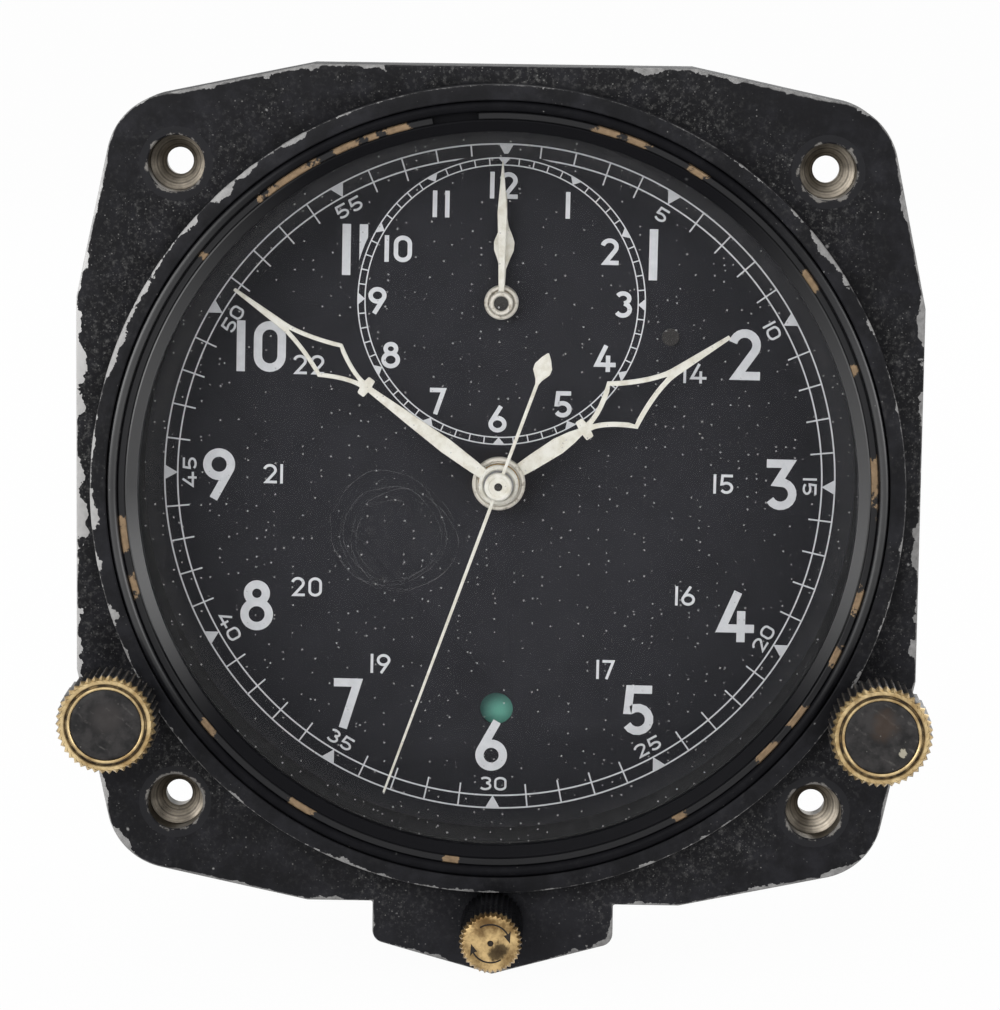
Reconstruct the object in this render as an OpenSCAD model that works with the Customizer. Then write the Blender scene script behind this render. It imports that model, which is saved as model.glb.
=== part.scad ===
// Panel-mounted eight-day aircraft clock with a trip-time dial.
// Every piece is drawn facing the viewer (x right, y up, z out of the dial) and stood upright by stand().
// The origin is on the dial's axis, in the plane of the flange's back face.

/* [Flange] */
// Distance between mounting hole centres, across and up
hole_pitch = 63.5; // [62:0.1:66]
// Width across the straight sides of the flange
flange_w = 83.1; // [82:0.1:88]
// Length of each straight side
side_l = 37; // [32:0.5:42]
// Radius of the round corner about each mounting hole
corner_r = 6.85; // [6:0.05:8]
// Thickness of the flange
flange_t = 7; // [6:0.25:9]
// Width of the tab that carries the winding knob
tab_w = 24; // [22:0.5:30]
// Drop of the tab's shoulders below the flange side
tab_drop = 4; // [2.5:0.1:5]
// Drop of the tab's point below its shoulders
tab_point = 3.3; // [2.5:0.1:5]
// Rounding of the tab's shoulders
tab_r = 1.3; // [0.5:0.1:2]

/* [Mounting bushes] */
// Outside radius of a steel mounting bush
bush_r = 3.6; // [3.3:0.05:4]
// Radius of the wide mouth of a bush
mouth_r = 2.75; // [2.4:0.05:3.1]
// Depth of the straight part of the mouth
mouth_l = 2.6; // [1.5:0.1:3.5]
// Depth of the whole funnel
funnel_l = 4.6; // [4:0.1:5.5]
// Radius of the screw hole
screw_hole_r = 1.475; // [1.2:0.025:1.8]

/* [Case] */
// Thickness of the raised rim round the bezel ring
rim_wall = 1.6; // [1.2:0.05:1.8]
// Height of the rim above the flange
rim_h = 2.6; // [2.2:0.1:2.9]
// Outside diameter of the drum behind the flange
drum_d = 78.6; // [77.8:0.1:79.2]
// Bore of the drum
bore_d = 72.8; // [72.4:0.1:73.2]
// Width of the seat that the glass rests on
glass_seat = 1.2; // [1:0.05:1.4]
// Depth of the drum behind the flange
case_l = 27.5; // [27:0.25:34]
// Thickness of the back cover
cover_t = 2; // [1.5:0.1:3]
// Thickness of the seal under the back cover
back_seal_t = 0.4; // [0.2:0.1:0.8]
// Half width of the housing for the winding stem
housing_w = 10.2; // [9.8:0.1:11]
// Number of back cover screws
cover_screws = 6; // [5:1:8]

/* [Glass and bezel] */
// Distance of the glass's edge inside the edge of the bezel ring
glass_inset = 1.55; // [1.3:0.05:1.8]
// Thickness of the glass
glass_t = 2; // [1.6:0.1:2.2]
// Thickness of the seal behind the glass
glass_seal_t = 0.5; // [0.3:0.1:0.7]
// Outside diameter of the bezel ring
ring_d = 76.7; // [76:0.1:77.2]
// Width of the bezel ring, from its outside to its sight opening
ring_band = 3.05; // [2.9:0.05:3.3]
// Height of the bezel ring
ring_t = 1.8; // [1.6:0.1:2.2]
// Width of the round bead on the bezel ring
bead_w = 1.05; // [0.9:0.05:1.2]
// Width of the brass snap ring
snap_w = 0.7; // [0.5:0.05:0.8]
// Thickness of the brass snap ring
snap_t = 0.6; // [0.4:0.05:0.7]
// Depth of the snap ring's front below the rim
snap_sink = 0.35; // [0.3:0.05:0.45]
// Gap between the ends of the snap ring, in degrees
snap_gap = 7; // [4:1:15]

/* [Dial] */
// Depth of the dial below the flange front
dial_depth = 8; // [7.5:0.1:9]
// Thickness of the dial
dial_t = 0.8; // [0.5:0.1:1]
// Height of the trip dial's centre above the main centre
trip_y = 17.9; // [17.6:0.1:18.6]
// Distance of the flag window below the main centre
window_y = 23.4; // [22.5:0.1:24]
// Radius of the flag window
window_r = 1.65; // [1.2:0.05:2]
// Place of the dial screw
dial_screw_at = [16.9, 14.6];

/* [Hands] */
// Gap between the minute hand's tip and the case's opening
minute_gap = 3; // [2:0.1:6]
// Length of the hour hand
hour_l = 27.2; // [22:0.1:30]
// Gap between the seconds hand's tip and the case's opening
second_gap = 2.6; // [2:0.1:6]
// Length of the seconds hand's tail
tail_l = 14.2; // [11:0.1:16]
// Length of the trip minute hand
trip_minute_l = 14.2; // [11:0.1:14.4]
// Length of the trip hour hand
trip_hour_l = 11; // [9:0.1:13]
// Thickness of every hand
hand_t = 0.25; // [0.15:0.05:0.3]
// Clockwise angle of the minute hand from twelve at rest
minute_turn = 306; // [0:1:359]
// Clockwise angle of the hour hand from twelve at rest
hour_turn = 56.6; // [0:0.1:359]
// Clockwise angle of the seconds hand from twelve at rest
second_turn = 199.7; // [0:0.1:359]
// Clockwise angle of the trip hour hand from twelve at rest
trip_hour_turn = 2; // [0:0.1:359]

/* [Pushers] */
// Gap between the rim and a pusher's guide bush
pusher_gap = 1.2; // [0.9:0.05:1.8]
// Angle of the pushers below the horizontal
pusher_drop = 30.5; // [28:0.5:34]
// Radius of the left pusher's fluted edge
left_knob_r = 4.9; // [4.5:0.05:5.2]
// Radius of the right pusher's fluted edge
right_knob_r = 5; // [4.5:0.05:5.2]
// Width of the brass border round each pusher's black disc
border_w = 1.38; // [1.1:0.02:1.6]
// Height of a pusher's knob
knob_h = 5.4; // [5:0.1:7]
// Travel of a pusher
push_travel = 1.6; // [1:0.1:1.8]
// Gap left under a pusher when it is pressed home
push_gap = 0.4; // [0.3:0.05:0.8]
// Number of flutes on a pusher
flutes = 42; // [30:1:50]
// Depth of a pusher's flutes
flute_depth = 0.32; // [0.2:0.02:0.4]
// Radius of a pusher's stem
push_stem_r = 1; // [0.8:0.05:1.1]
// Outside radius of a pusher's guide bush
guide_r = 2.5; // [2.3:0.05:2.6]

/* [Winding knob] */
// Gap between the rim and the winding knob
wind_knob_gap = 0.15; // [0.1:0.05:0.5]
// Radius of the winding knob
wind_knob_r = 3.1; // [2.8:0.05:3.15]
// Height of the winding knob
wind_knob_h = 9.6; // [8:0.1:11]
// Number of flutes on the winding knob
wind_flutes = 36; // [24:1:44]
// Depth of the winding knob's flutes
wind_flute_depth = 0.28; // [0.16:0.02:0.36]
// Pull of the winding knob to set the hands
pull_travel = 1.6; // [1.5:0.1:2]
// Radius of the winding stem
stem_r = 1.1; // [0.9:0.05:1.2]

/* [Movement] */
// Thickness of the movement plates
plate_t = 1.5; // [1.2:0.1:1.8]
// Room between the dial and the front plate
under_dial = 4.7; // [4.6:0.1:5.2]
// Room between the plates
train_room = 11; // [10.8:0.1:12]
// Radius of the back plate
back_plate_r = 34.5; // [34:0.1:35]
// Radius of a pillar
pillar_r = 2; // [1.8:0.1:2.3]
// Distance of the pillars from the dial's axis
pillar_dist = 30.5; // [30:0.1:31]
// Radius of the train arbors
arbor_r = 0.7; // [0.6:0.05:0.8]
// Radius of the train pivots
pivot_r = 0.4; // [0.3:0.05:0.45]
// Radius of the balance wheel
balance_r = 8; // [7:0.1:8.4]
// Thickness of the wheels
wheel_t = 0.8; // [0.6:0.05:0.9]

/* [Clearances] */
// Running clearance of a shaft in its hole
run = 0.05; // [0.02:0.01:0.1]
// Clearance of pieces that are dropped into place
fit = 0.05; // [0.02:0.01:0.1]
// End shake of an arbor between the plates
shake = 0.1; // [0.05:0.01:0.2]

/* [Hidden] */
$fn = 64;
// Overlap that makes cuts pass cleanly through a face
over = 1;

// Gear proportions, as shares of the module
addendum = 0.8;
dedendum = 1.15;
pressure = 25;
tooth_share = 0.43;
// Extra distance between the fourth wheel and the small escape pinion
escape_ease = 0.03;

// Heights of the case and the glass
rim_z = flange_t + rim_h;
ring_z = rim_z - ring_t;
glass_z = ring_z - glass_t;
snap_z = rim_z - snap_sink - snap_t;
seal_z = glass_z - glass_seal_t;
dial_z = flange_t - dial_depth;
dial_back = dial_z - dial_t;
front_z = dial_back - under_dial;
train_top = front_z - plate_t;
train_low = train_top - train_room;
back_z = train_low - plate_t;
rear_z = -case_l;
cover_z = rear_z - back_seal_t;

// Radii worked out from the case
rim_r = ring_d / 2 + rim_wall;
ring_sight_r = ring_d / 2 - ring_band;
glass_r = ring_d / 2 - glass_inset;
sight_r = glass_r - glass_seat;
minute_l = sight_r - minute_gap;
second_l = sight_r - second_gap;
pusher_dist = rim_r + pusher_gap + guide_r;
stem_dist = rim_r + wind_knob_gap + wind_knob_r;
drum_r = drum_d / 2;
bore_r = bore_d / 2;
wall_mid = (drum_r + bore_r) / 2;
dial_r = bore_r - 0.2;
spacer_w = 1.6;
lock_ring_h = 2;

// Heights of the hands above the dial
trip_hour_z = dial_z + 0.55;
trip_minute_z = dial_z + 1.5;
hour_z = dial_z + 2.7;
minute_z = dial_z + 3.85;
second_z = dial_z + 5.1;

// Radii of the nested pipes at the centre
second_r = 0.4;
centre_r = 1;
cannon_r = 1.5;
hour_pipe_r = 2.05;
hour_boss_r = 2.65;
minute_boss_r = 2;
second_boss_r = 1.37;
trip_arbor_r = 0.7;
trip_pipe_r = 1.2;
trip_boss_r = 1.7;
boss_t = 0.9;

// Motion work: cannon pinion, minute wheel and its pinion, hour wheel
cannon_teeth = 12;
minute_teeth = 36;
minute_pinion_teeth = 10;
hour_teeth = 40;
motion_m = 0.4;
motion_dist = motion_m * (cannon_teeth + minute_teeth) / 2;
hour_m = 2 * motion_dist / (minute_pinion_teeth + hour_teeth);
motion_turn = 225;
trip_motion_turn = 135;
cannon_z = front_z + 0.3;
cannon_gear_t = 1.2;
hour_wheel_z = cannon_z + cannon_gear_t + 0.6;
hour_gear_t = 1;
stud_r = 0.6;
stud_head_r = 1.1;
stud_head_t = 0.5;
stud_top = hour_wheel_z + hour_gear_t + 0.3;

// Winding work
wind_m = 0.5;
wind_pinion_teeth = 12;
transmission_teeth = 36;
ratchet_teeth = 36;
wind_gear_t = 1.2;
wind_z = back_z - 1.5 - wind_gear_t;
transmission_at = [0, wind_m * (wind_pinion_teeth + transmission_teeth) / 2 - stem_dist];
transmission_r = 1.2;
barrel_turn = 123.7;
barrel_at = transmission_at + polar(wind_m * (transmission_teeth + ratchet_teeth) / 2, barrel_turn);
chamber_r = wind_m * (wind_pinion_teeth / 2 + addendum) + 0.35;
chamber_top = -8;
housing_r = chamber_r + 1.15;
sleeve_r = 2.8;
sleeve_h = 3;
sleeve_z = chamber_top - 6;
collar_r = 1.9;
collar_t = 0.4;

// Going train
barrel_teeth = 60;
barrel_m = 0.4;
inter_pinion_teeth = 12;
inter_teeth = 60;
inter_m = 0.3;
centre_pinion_teeth = 10;
centre_teeth = 64;
centre_m = 0.28;
third_pinion_teeth = 8;
third_teeth = 60;
third_m = 0.26;
fourth_pinion_teeth = 8;
fourth_teeth = 70;
fourth_m = 0.22;
escape_pinion_teeth = 7;
escape_teeth = 15;
escape_r = 4.5;
pinion_t = 1.6;
sweep_teeth = 60;
sweep_pinion_teeth = 8;
inter_dist = inter_m * (inter_teeth + centre_pinion_teeth) / 2;
inter_at = meet([0, 0], barrel_at, inter_dist, barrel_m * (barrel_teeth + inter_pinion_teeth) / 2);
third_at = polar(centre_m * (centre_teeth + third_pinion_teeth) / 2, 60);
fourth_at = third_at + polar(third_m * (third_teeth + fourth_pinion_teeth) / 2, -20);
sweep_m = 2 * norm(third_at) / (sweep_teeth + sweep_pinion_teeth);
escape_at = fourth_at + polar(fourth_m * (fourth_teeth + escape_pinion_teeth) / 2 + escape_ease, -60);
pallet_dist = 5.4;
lever_turn = -92;
pallet_at = escape_at + polar(pallet_dist, lever_turn);
balance_dist = 6.7;
balance_at = pallet_at + polar(balance_dist, lever_turn);

// Levels of the wheels, from the front plate backwards
centre_z = train_top - 1.4;
inter_z = train_top - 3;
barrel_top = train_top - 3.6;
barrel_h = 7;
barrel_r = 11;
barrel_wall = 0.8;
barrel_low = barrel_top - barrel_h;
barrel_rim_t = 1.4;
barrel_arbor_r = 1.4;
barrel_hub_r = 2.4;
third_z = train_top - 5;
fourth_z = train_top - 7;
escape_z = train_top - 9;
sweep_z = back_z - 1.4;
balance_z = back_z - 2.7;
balance_t = 1;
staff_r = 0.5;
roller_r = 1;
hairspring_z = balance_z - 1.1;
cock_t = 1.2;
cock_z = balance_z - 3;
cock_foot = polar(11.5, 20);
cock_foot_r = 2.6;

// Click and its spring, in a frame centred on the ratchet wheel
click_turn = 170;
click_clear = 0.18;
click_tip = wind_m * (ratchet_teeth / 2 + addendum) + click_clear;
click_pivot = [click_tip + 1.8, 5];
click_spring_at = [click_tip + 5, 0.4];
click_boss_r = 1.5;

// Pillars and screws
pillar_turns = [45, 135, 200, 300];
plate_screw_r = 0.8;
plate_screw_l = 4;
screw_head_r = 1.8;
screw_head_t = 0.9;
cover_screw_r = 0.95;
cover_screw_l = 6;
cover_head_r = 1.7;
cover_head_t = 1.1;

// Pushers and rockers
knob_z = rim_z + push_travel + push_gap;
knob_front = knob_z + knob_h;
knob_bore_r = guide_r + 0.4;
knob_roof = 2;
disc_seat = 0.6;
disc_sink = 0.1;
guide_top = knob_z + 0.3;
spring_r = guide_r - 0.25;
spring_wire = 0.8;
rocker_w = 3;
rocker_t = 1;
rocker_z = front_z + 1.9;
rocker_axis_z = rocker_z + rocker_t / 2;
rocker_pivot = 32.8;
rocker_inner = 25.5;
rocker_hub_r = 1.1;
rocker_pin_r = 0.6;
bracket_t = 0.8;
bracket_gap = 0.15;
nose_r = 0.4;
nose_gap = 0.1;
slot_w = rocker_w + 0.8;
ear_r = 3.2;
ear_low = rocker_z - 4.4;
ear_floor = 1.4;
slot_top = rocker_z + rocker_t + 0.7;
wind_knob_z = flange_t + 0.4;
wind_knob_front = wind_knob_z + wind_knob_h;
stem_top = wind_knob_front - 1.5;
stem_low = wind_z - 1.2;

// Flag under the dial window
flag_at = [4.6, -window_y - 1.2];
flag_r = 6.6;
flag_t = 0.4;
flag_z = dial_back - 0.8;
flag_star_r = 2.6;

// Points and angles
function polar(r, a) = [r * cos(a), r * sin(a)];
function turned(p, a) = [p[0] * cos(a) - p[1] * sin(a), p[0] * sin(a) + p[1] * cos(a)];
function heading(a, b) = atan2(b[1] - a[1], b[0] - a[0]);
function arc(c, r, a0, a1, n = 6) = [for (i = [0:n]) c + polar(r, a0 + (a1 - a0) * i / n)];
function flip(points) = [for (i = [len(points) - 1:-1:0]) points[i]];
function mirrored(points, sx, sy) = [for (p = points) [p[0] * sx, p[1] * sy]];

// Point at distance da from a and db from b, on the left of the line from a to b
function meet(a, b, da, db) =
  let (d = norm(b - a), turn = acos((da * da + d * d - db * db) / (2 * da * d)))
  a + polar(da, heading(a, b) - turn);

// Point where a line from p touches a circle, on the line's right
function touch(p, c, r) =
  let (d = norm(c - p))
  p + polar(sqrt(d * d - r * r), heading(p, c) - asin(r / d));

// Gear teeth with straight chords between points of the involute
function involute(a) = tan(a) * 180 / PI - a;
function tooth_half(teeth, r, rp) =
  let (base = rp * cos(pressure), lean = r > base ? involute(acos(base / r)) : 0)
  180 * tooth_share / teeth + involute(pressure) - lean;
function gear_points(teeth, m) =
  let (rp = teeth * m / 2, radii = [rp - dedendum * m, rp, rp + addendum * m])
  [for (i = [0:teeth - 1])
    let (c = 360 * i / teeth)
    for (k = [0:5])
      let (r = radii[k < 3 ? k : 5 - k], side = k < 3 ? -1 : 1)
      polar(r, c + side * tooth_half(teeth, r, rp))];

// Turn of a gear so that its gap faces a tooth of the gear it meshes with
function mesh_turn(lead_turn, lead_teeth, teeth, way) =
  let (pitch = 360 / lead_teeth, off = lead_turn - way, part = off / pitch - floor(off / pitch))
  way + 180 - part * 360 / teeth + 180 / teeth;

// Outline of the flange without its tab
hole_points = [for (sx = [-1, 1]) for (sy = [-1, 1]) [sx, sy] * hole_pitch / 2];
side_end = [flange_w / 2, side_l / 2];
corner_touch = touch(side_end, [hole_pitch, hole_pitch] / 2, corner_r);
quarter = [side_end, corner_touch, [corner_touch[1], corner_touch[0]], [side_end[1], side_end[0]]];
flange_points = concat(quarter, flip(mirrored(quarter, -1, 1)), mirrored(quarter, -1, -1),
  flip(mirrored(quarter, 1, -1)));

// Outline of the tab, with rounded shoulders and a shallow point
tab_low = flange_w / 2 + tab_drop;
tab_slope = atan(2 * tab_point / tab_w);
shoulder = [tab_w / 2 - tab_r, tab_r * (1 - sin(tab_slope)) / cos(tab_slope) - tab_low];
tab_right = concat([[tab_w / 2, over - flange_w / 2]], arc(shoulder, tab_r, 0, tab_slope - 90));
tab_points = concat(tab_right, [[0, -tab_low - tab_point]], flip(mirrored(tab_right, -1, 1)));

stem_at = [0, -stem_dist];
trip_at = [0, trip_y];
pusher_turns = [180 + pusher_drop, -pusher_drop];
minute_wheel_at = polar(motion_dist, motion_turn);
trip_wheel_at = trip_at + polar(motion_dist, trip_motion_turn);
cover_turns = [for (i = [0:cover_screws - 1]) -40 + 260 * i / (cover_screws - 1)];
click_at = barrel_at + turned(click_pivot, click_turn);
cock_foot_at = balance_at + cock_foot;
plate_pivots = [inter_at, third_at, fourth_at, escape_at, pallet_at];

// Shared shapes
module stand() {
  rotate([90, 0, 0]) children();
}

module at(p) {
  translate([p[0], p[1], 0]) children();
}

module rod(r, z0, z1) {
  translate([0, 0, z0]) cylinder(r = r, h = z1 - z0);
}

module tube(r, bore, z0, z1) {
  difference() {
    rod(r, z0, z1);
    rod(bore, z0 - over, z1 + over);
  }
}

module slab(z0, z1) {
  translate([0, 0, z0]) linear_extrude(z1 - z0) children();
}

module gear(teeth, m, z0, t, turn) {
  slab(z0, z0 + t) rotate(turn) polygon(gear_points(teeth, m));
}

module arbor() {
  rod(arbor_r, train_low + shake, train_top - shake);
  rod(pivot_r, train_low - plate_t + shake, train_top + plate_t - shake);
}

module screw(head_r, head_t, r, l) {
  difference() {
    rod(head_r, 0, head_t);
    translate([-head_r - over, -head_r / 10, head_t / 2]) cube([2 * (head_r + over), head_r / 5, head_t]);
  }
  rod(r, -l, over / 4);
}

module fluted(r, depth, count, z0, z1) {
  slab(z0, z1) polygon([for (i = [0:2 * count - 1]) polar(i % 2 == 0 ? r : r - depth, 180 * i / count)]);
}

// Case
module housing_outline(w, r) {
  translate([-w, -stem_dist]) square([2 * w, stem_dist - bore_r + over]);
  translate(stem_at) circle(r);
}

module pusher_ear() {
  translate([drum_r - over, -ear_r, ear_low]) cube([pusher_dist - drum_r + over, 2 * ear_r, -ear_low + over]);
  at([pusher_dist, 0]) rod(ear_r, ear_low, over);
}

module pusher_ear_room() {
  floor_z = ear_low + ear_floor;
  translate([bore_r - over, -slot_w / 2, floor_z])
    cube([pusher_dist - bore_r + over, slot_w, slot_top - floor_z]);
  at([pusher_dist, 0]) {
    rod(slot_w / 2, floor_z, slot_top);
    rod(push_stem_r + run, floor_z, over);
    rod(guide_r + fit, 0, flange_t + over);
  }
}

// Slot through the drum wall for the wheel driven by the winding stem
module wheel_slot() {
  wheel_room = wind_m * (transmission_teeth / 2 + addendum) + 0.35;
  wheel_drop = -transmission_at[1];
  corner_drop = (pow(bore_r, 2) - pow(wheel_room, 2) + pow(wheel_drop, 2)) / (2 * wheel_drop);
  slot_half = sqrt(pow(bore_r, 2) - pow(corner_drop, 2));
  slot_low = -wheel_drop - wheel_room;
  translate([-slot_half, slot_low]) square([2 * slot_half, over - corner_drop - slot_low]);
}

module winding_room() {
  at(stem_at) {
    rod(chamber_r, rear_z - over, chamber_top);
    rod(stem_r + run, chamber_top - over, over);
    rod(guide_r + fit, 0, flange_t + over);
  }
  slab(rear_z - over, wind_z + wind_gear_t + 0.4) wheel_slot();
}

module case_front() {
  color([0.06, 0.06, 0.07]) stand() difference() {
    union() {
      slab(0, flange_t) {
        polygon(flange_points);
        for (p = hole_points) translate(p) circle(corner_r);
        polygon(tab_points);
      }
      rod(rim_r, flange_t - over, rim_z);
      rod(drum_r, rear_z, over);
      slab(rear_z, over) housing_outline(housing_w, housing_r);
      for (a = pusher_turns) rotate(a) pusher_ear();
    }
    rod(bore_r, rear_z - over, dial_z);
    rod(sight_r, dial_z - over, seal_z + over);
    rod(glass_r + fit, seal_z, ring_z + over);
    rod(ring_d / 2 + fit, ring_z, rim_z + over);
    for (p = hole_points) at(p) rod(bush_r, -over, flange_t + over);
    for (a = pusher_turns) rotate(a) pusher_ear_room();
    winding_room();
    for (a = cover_turns) at(polar(wall_mid, a)) rod(cover_screw_r, rear_z - over, rear_z + cover_screw_l);
  }
}

module mounting_bushes() {
  color([0.62, 0.6, 0.56]) stand() for (p = hole_points) at(p) difference() {
    rod(bush_r, 0, flange_t);
    rod(screw_hole_r, -over, flange_t + over);
    rod(mouth_r, flange_t - mouth_l, flange_t + over);
    translate([0, 0, flange_t - funnel_l]) cylinder(r1 = screw_hole_r, r2 = mouth_r, h = funnel_l - mouth_l);
  }
}

module glass_seal() {
  color([0.05, 0.05, 0.05]) stand() tube(glass_r, sight_r, seal_z, glass_z);
}

module glass() {
  color([0.85, 0.9, 0.92, 0.3]) stand() rod(glass_r, glass_z, ring_z);
}

module bezel_ring() {
  bead_r = ring_d / 2 - bead_w / 2;
  channel_r = ring_d / 2 - bead_w;
  lip_r = channel_r - snap_w - 2 * fit;
  lip_z = rim_z - snap_sink;
  color([0.16, 0.16, 0.17]) stand() {
    rotate_extrude() {
      polygon([[ring_sight_r, ring_z], [ring_d / 2, ring_z], [ring_d / 2, rim_z - bead_w / 2],
        [channel_r, rim_z - bead_w / 2], [channel_r, snap_z], [lip_r, snap_z], [lip_r, lip_z],
        [ring_sight_r, snap_z]]);
      translate([bead_r, rim_z - bead_w / 2]) circle(bead_w / 2);
    }
  }
}

module snap_ring() {
  outer = ring_d / 2 - bead_w - fit;
  color([0.5, 0.38, 0.2]) stand() rotate(90 + snap_gap / 2)
    rotate_extrude(angle = 360 - snap_gap) translate([outer - snap_w, snap_z]) square([snap_w, snap_t]);
}

module back_cover() {
  color([0.1, 0.1, 0.11]) stand() difference() {
    slab(cover_z - cover_t, cover_z) {
      circle(drum_r);
      housing_outline(housing_w, housing_r);
    }
    for (a = cover_turns) at(polar(wall_mid, a)) rod(cover_screw_r + fit, cover_z - cover_t - over, cover_z + over);
  }
}

module back_seal() {
  color([0.08, 0.08, 0.08]) stand() difference() {
    slab(cover_z, rear_z) {
      circle(drum_r);
      housing_outline(housing_w, housing_r);
    }
    slab(cover_z - over, rear_z + over) {
      circle(bore_r);
      wheel_slot();
      translate(stem_at) circle(chamber_r);
    }
    for (a = cover_turns) at(polar(wall_mid, a)) rod(cover_screw_r + fit, cover_z - over, rear_z + over);
  }
}

module back_screws() {
  length = cover_t + back_seal_t + cover_screw_l - 1;
  color([0.55, 0.55, 0.53]) stand() for (a = cover_turns)
    at(polar(wall_mid, a)) translate([0, 0, cover_z - cover_t]) mirror([0, 0, 1])
      screw(cover_head_r, cover_head_t, cover_screw_r, length);
}

module guide_bushes() {
  color([0.55, 0.42, 0.2]) stand() {
    for (a = pusher_turns) at(polar(pusher_dist, a)) tube(guide_r, push_stem_r + run, 0, guide_top);
    at(stem_at) tube(guide_r, stem_r + run, 0, flange_t + 0.1);
  }
}

// Dial and plates
module dial() {
  color([0.05, 0.05, 0.06]) stand() difference() {
    rod(dial_r, dial_back, dial_z);
    rod(hour_pipe_r + 0.2, dial_back - over, dial_z + over);
    at(trip_at) rod(trip_pipe_r + 0.2, dial_back - over, dial_z + over);
    at([0, -window_y]) rod(window_r, dial_back - over, dial_z + over);
    at(dial_screw_at) rod(plate_screw_r + fit, dial_back - over, dial_z + over);
  }
}

module dial_screw() {
  color([0.2, 0.19, 0.2]) stand() at(dial_screw_at) translate([0, 0, dial_z])
    screw(0.85, 0.3, plate_screw_r - 0.2, dial_t + 2);
}

module spacer_ring() {
  color([0.55, 0.45, 0.25]) stand() difference() {
    tube(dial_r, dial_r - spacer_w, front_z, dial_back);
    for (a = pusher_turns) rotate(a)
      translate([0, -slot_w / 2, front_z - over]) cube([bore_r + over, slot_w, slot_top - front_z + over]);
  }
}

module front_plate() {
  color([0.72, 0.6, 0.32]) stand() difference() {
    union() {
      rod(dial_r, train_top, front_z);
      at(dial_screw_at) rod(1.4, front_z - over / 2, dial_back);
    }
    rod(centre_r + run, train_top - over, front_z + over);
    at(trip_at) rod(trip_arbor_r + run, train_top - over, front_z + over);
    at(barrel_at) rod(barrel_arbor_r + run, train_top - over, front_z + over);
    at(balance_at) rod(pivot_r + run, train_top - over, front_z + over);
    at(flag_at) rod(staff_r + run, train_top - over, front_z + over);
    for (p = plate_pivots) at(p) rod(pivot_r + run, train_top - over, front_z + over);
    for (p = [minute_wheel_at, trip_wheel_at]) at(p) rod(stud_r, train_top - over, front_z + over);
    at(dial_screw_at) rod(plate_screw_r - 0.2, train_top - over, dial_back + over);
    for (a = pillar_turns) at(polar(pillar_dist, a)) rod(plate_screw_r, train_top - over, front_z + over);
  }
}

module back_plate() {
  color([0.72, 0.6, 0.32]) stand() difference() {
    rod(back_plate_r, back_z, train_low);
    rod(centre_r + run, back_z - over, train_low + over);
    at(barrel_at) rod(barrel_arbor_r + run, back_z - over, train_low + over);
    at(balance_at) rod(roller_r + 0.4, back_z - over, train_low + over);
    for (p = plate_pivots) at(p) rod(pivot_r + run, back_z - over, train_low + over);
    at(third_at) rod(arbor_r + run, back_z - over, train_low + over);
    at(transmission_at) rod(plate_screw_r, back_z - over, train_low + over);
    at(click_at) rod(plate_screw_r, back_z - over, train_low + over);
    at(barrel_at + turned(click_spring_at, click_turn)) rod(plate_screw_r, back_z - over, train_low + over);
    at(cock_foot_at) rod(plate_screw_r, back_z - over, train_low + over);
    for (a = pillar_turns) at(polar(pillar_dist, a)) rod(plate_screw_r, back_z - over, train_low + over);
  }
}

module pillars() {
  color([0.7, 0.6, 0.35]) stand() for (a = pillar_turns) at(polar(pillar_dist, a))
    tube(pillar_r, plate_screw_r, train_low, train_top);
}

// Screws that hold the plates, the cock, the click and the wheels on studs
module movement_screws() {
  reach = plate_t + plate_screw_l;
  color([0.35, 0.38, 0.5]) stand() {
    for (a = pillar_turns) at(polar(pillar_dist, a)) {
      translate([0, 0, front_z]) screw(screw_head_r, screw_head_t, plate_screw_r, reach);
      translate([0, 0, back_z]) mirror([0, 0, 1]) screw(screw_head_r, screw_head_t, plate_screw_r, reach);
    }
    for (p = [minute_wheel_at, trip_wheel_at]) at(p)
      translate([0, 0, stud_top]) screw(stud_head_r, stud_head_t, stud_r, stud_top - train_top);
    at(transmission_at) {
      rod(transmission_r, wind_z - 0.2, back_z);
      translate([0, 0, wind_z - 0.2]) mirror([0, 0, 1])
        screw(transmission_r + 0.8, 1, plate_screw_r, back_z + plate_t - wind_z + 0.2);
    }
    at(click_at) {
      rod(plate_screw_r, wind_z, back_z);
      translate([0, 0, wind_z]) mirror([0, 0, 1])
        screw(plate_screw_r + 0.5, 0.6, plate_screw_r, back_z + plate_t - wind_z);
    }
    at(cock_foot_at) translate([0, 0, cock_z]) mirror([0, 0, 1])
      screw(screw_head_r, 0.8, plate_screw_r, back_z + plate_t - cock_z);
  }
}

module lock_ring() {
  color([0.5, 0.5, 0.48]) stand() difference() {
    tube(dial_r, dial_r - spacer_w, train_top - lock_ring_h, train_top);
    for (a = [0:90:270]) rotate(a)
      translate([0, -1, train_top - lock_ring_h - over]) cube([bore_r + over, 2, over + lock_ring_h / 2]);
  }
}

module balance_cock() {
  color([0.75, 0.64, 0.38]) stand() difference() {
    union() {
      at(balance_at) rotate(heading([0, 0], cock_foot)) slab(cock_z, cock_z + cock_t) {
        circle(1.8);
        translate([0, -1.4]) square([norm(cock_foot), 2.8]);
        translate([norm(cock_foot), 0]) circle(cock_foot_r);
      }
      at(cock_foot_at) rod(cock_foot_r - 0.2, cock_z + cock_t / 2, back_z);
    }
    at(balance_at) rod(pivot_r + run, cock_z - over, cock_z + cock_t + over);
    at(cock_foot_at) rod(plate_screw_r, cock_z - over, back_z + over);
  }
}

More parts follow.
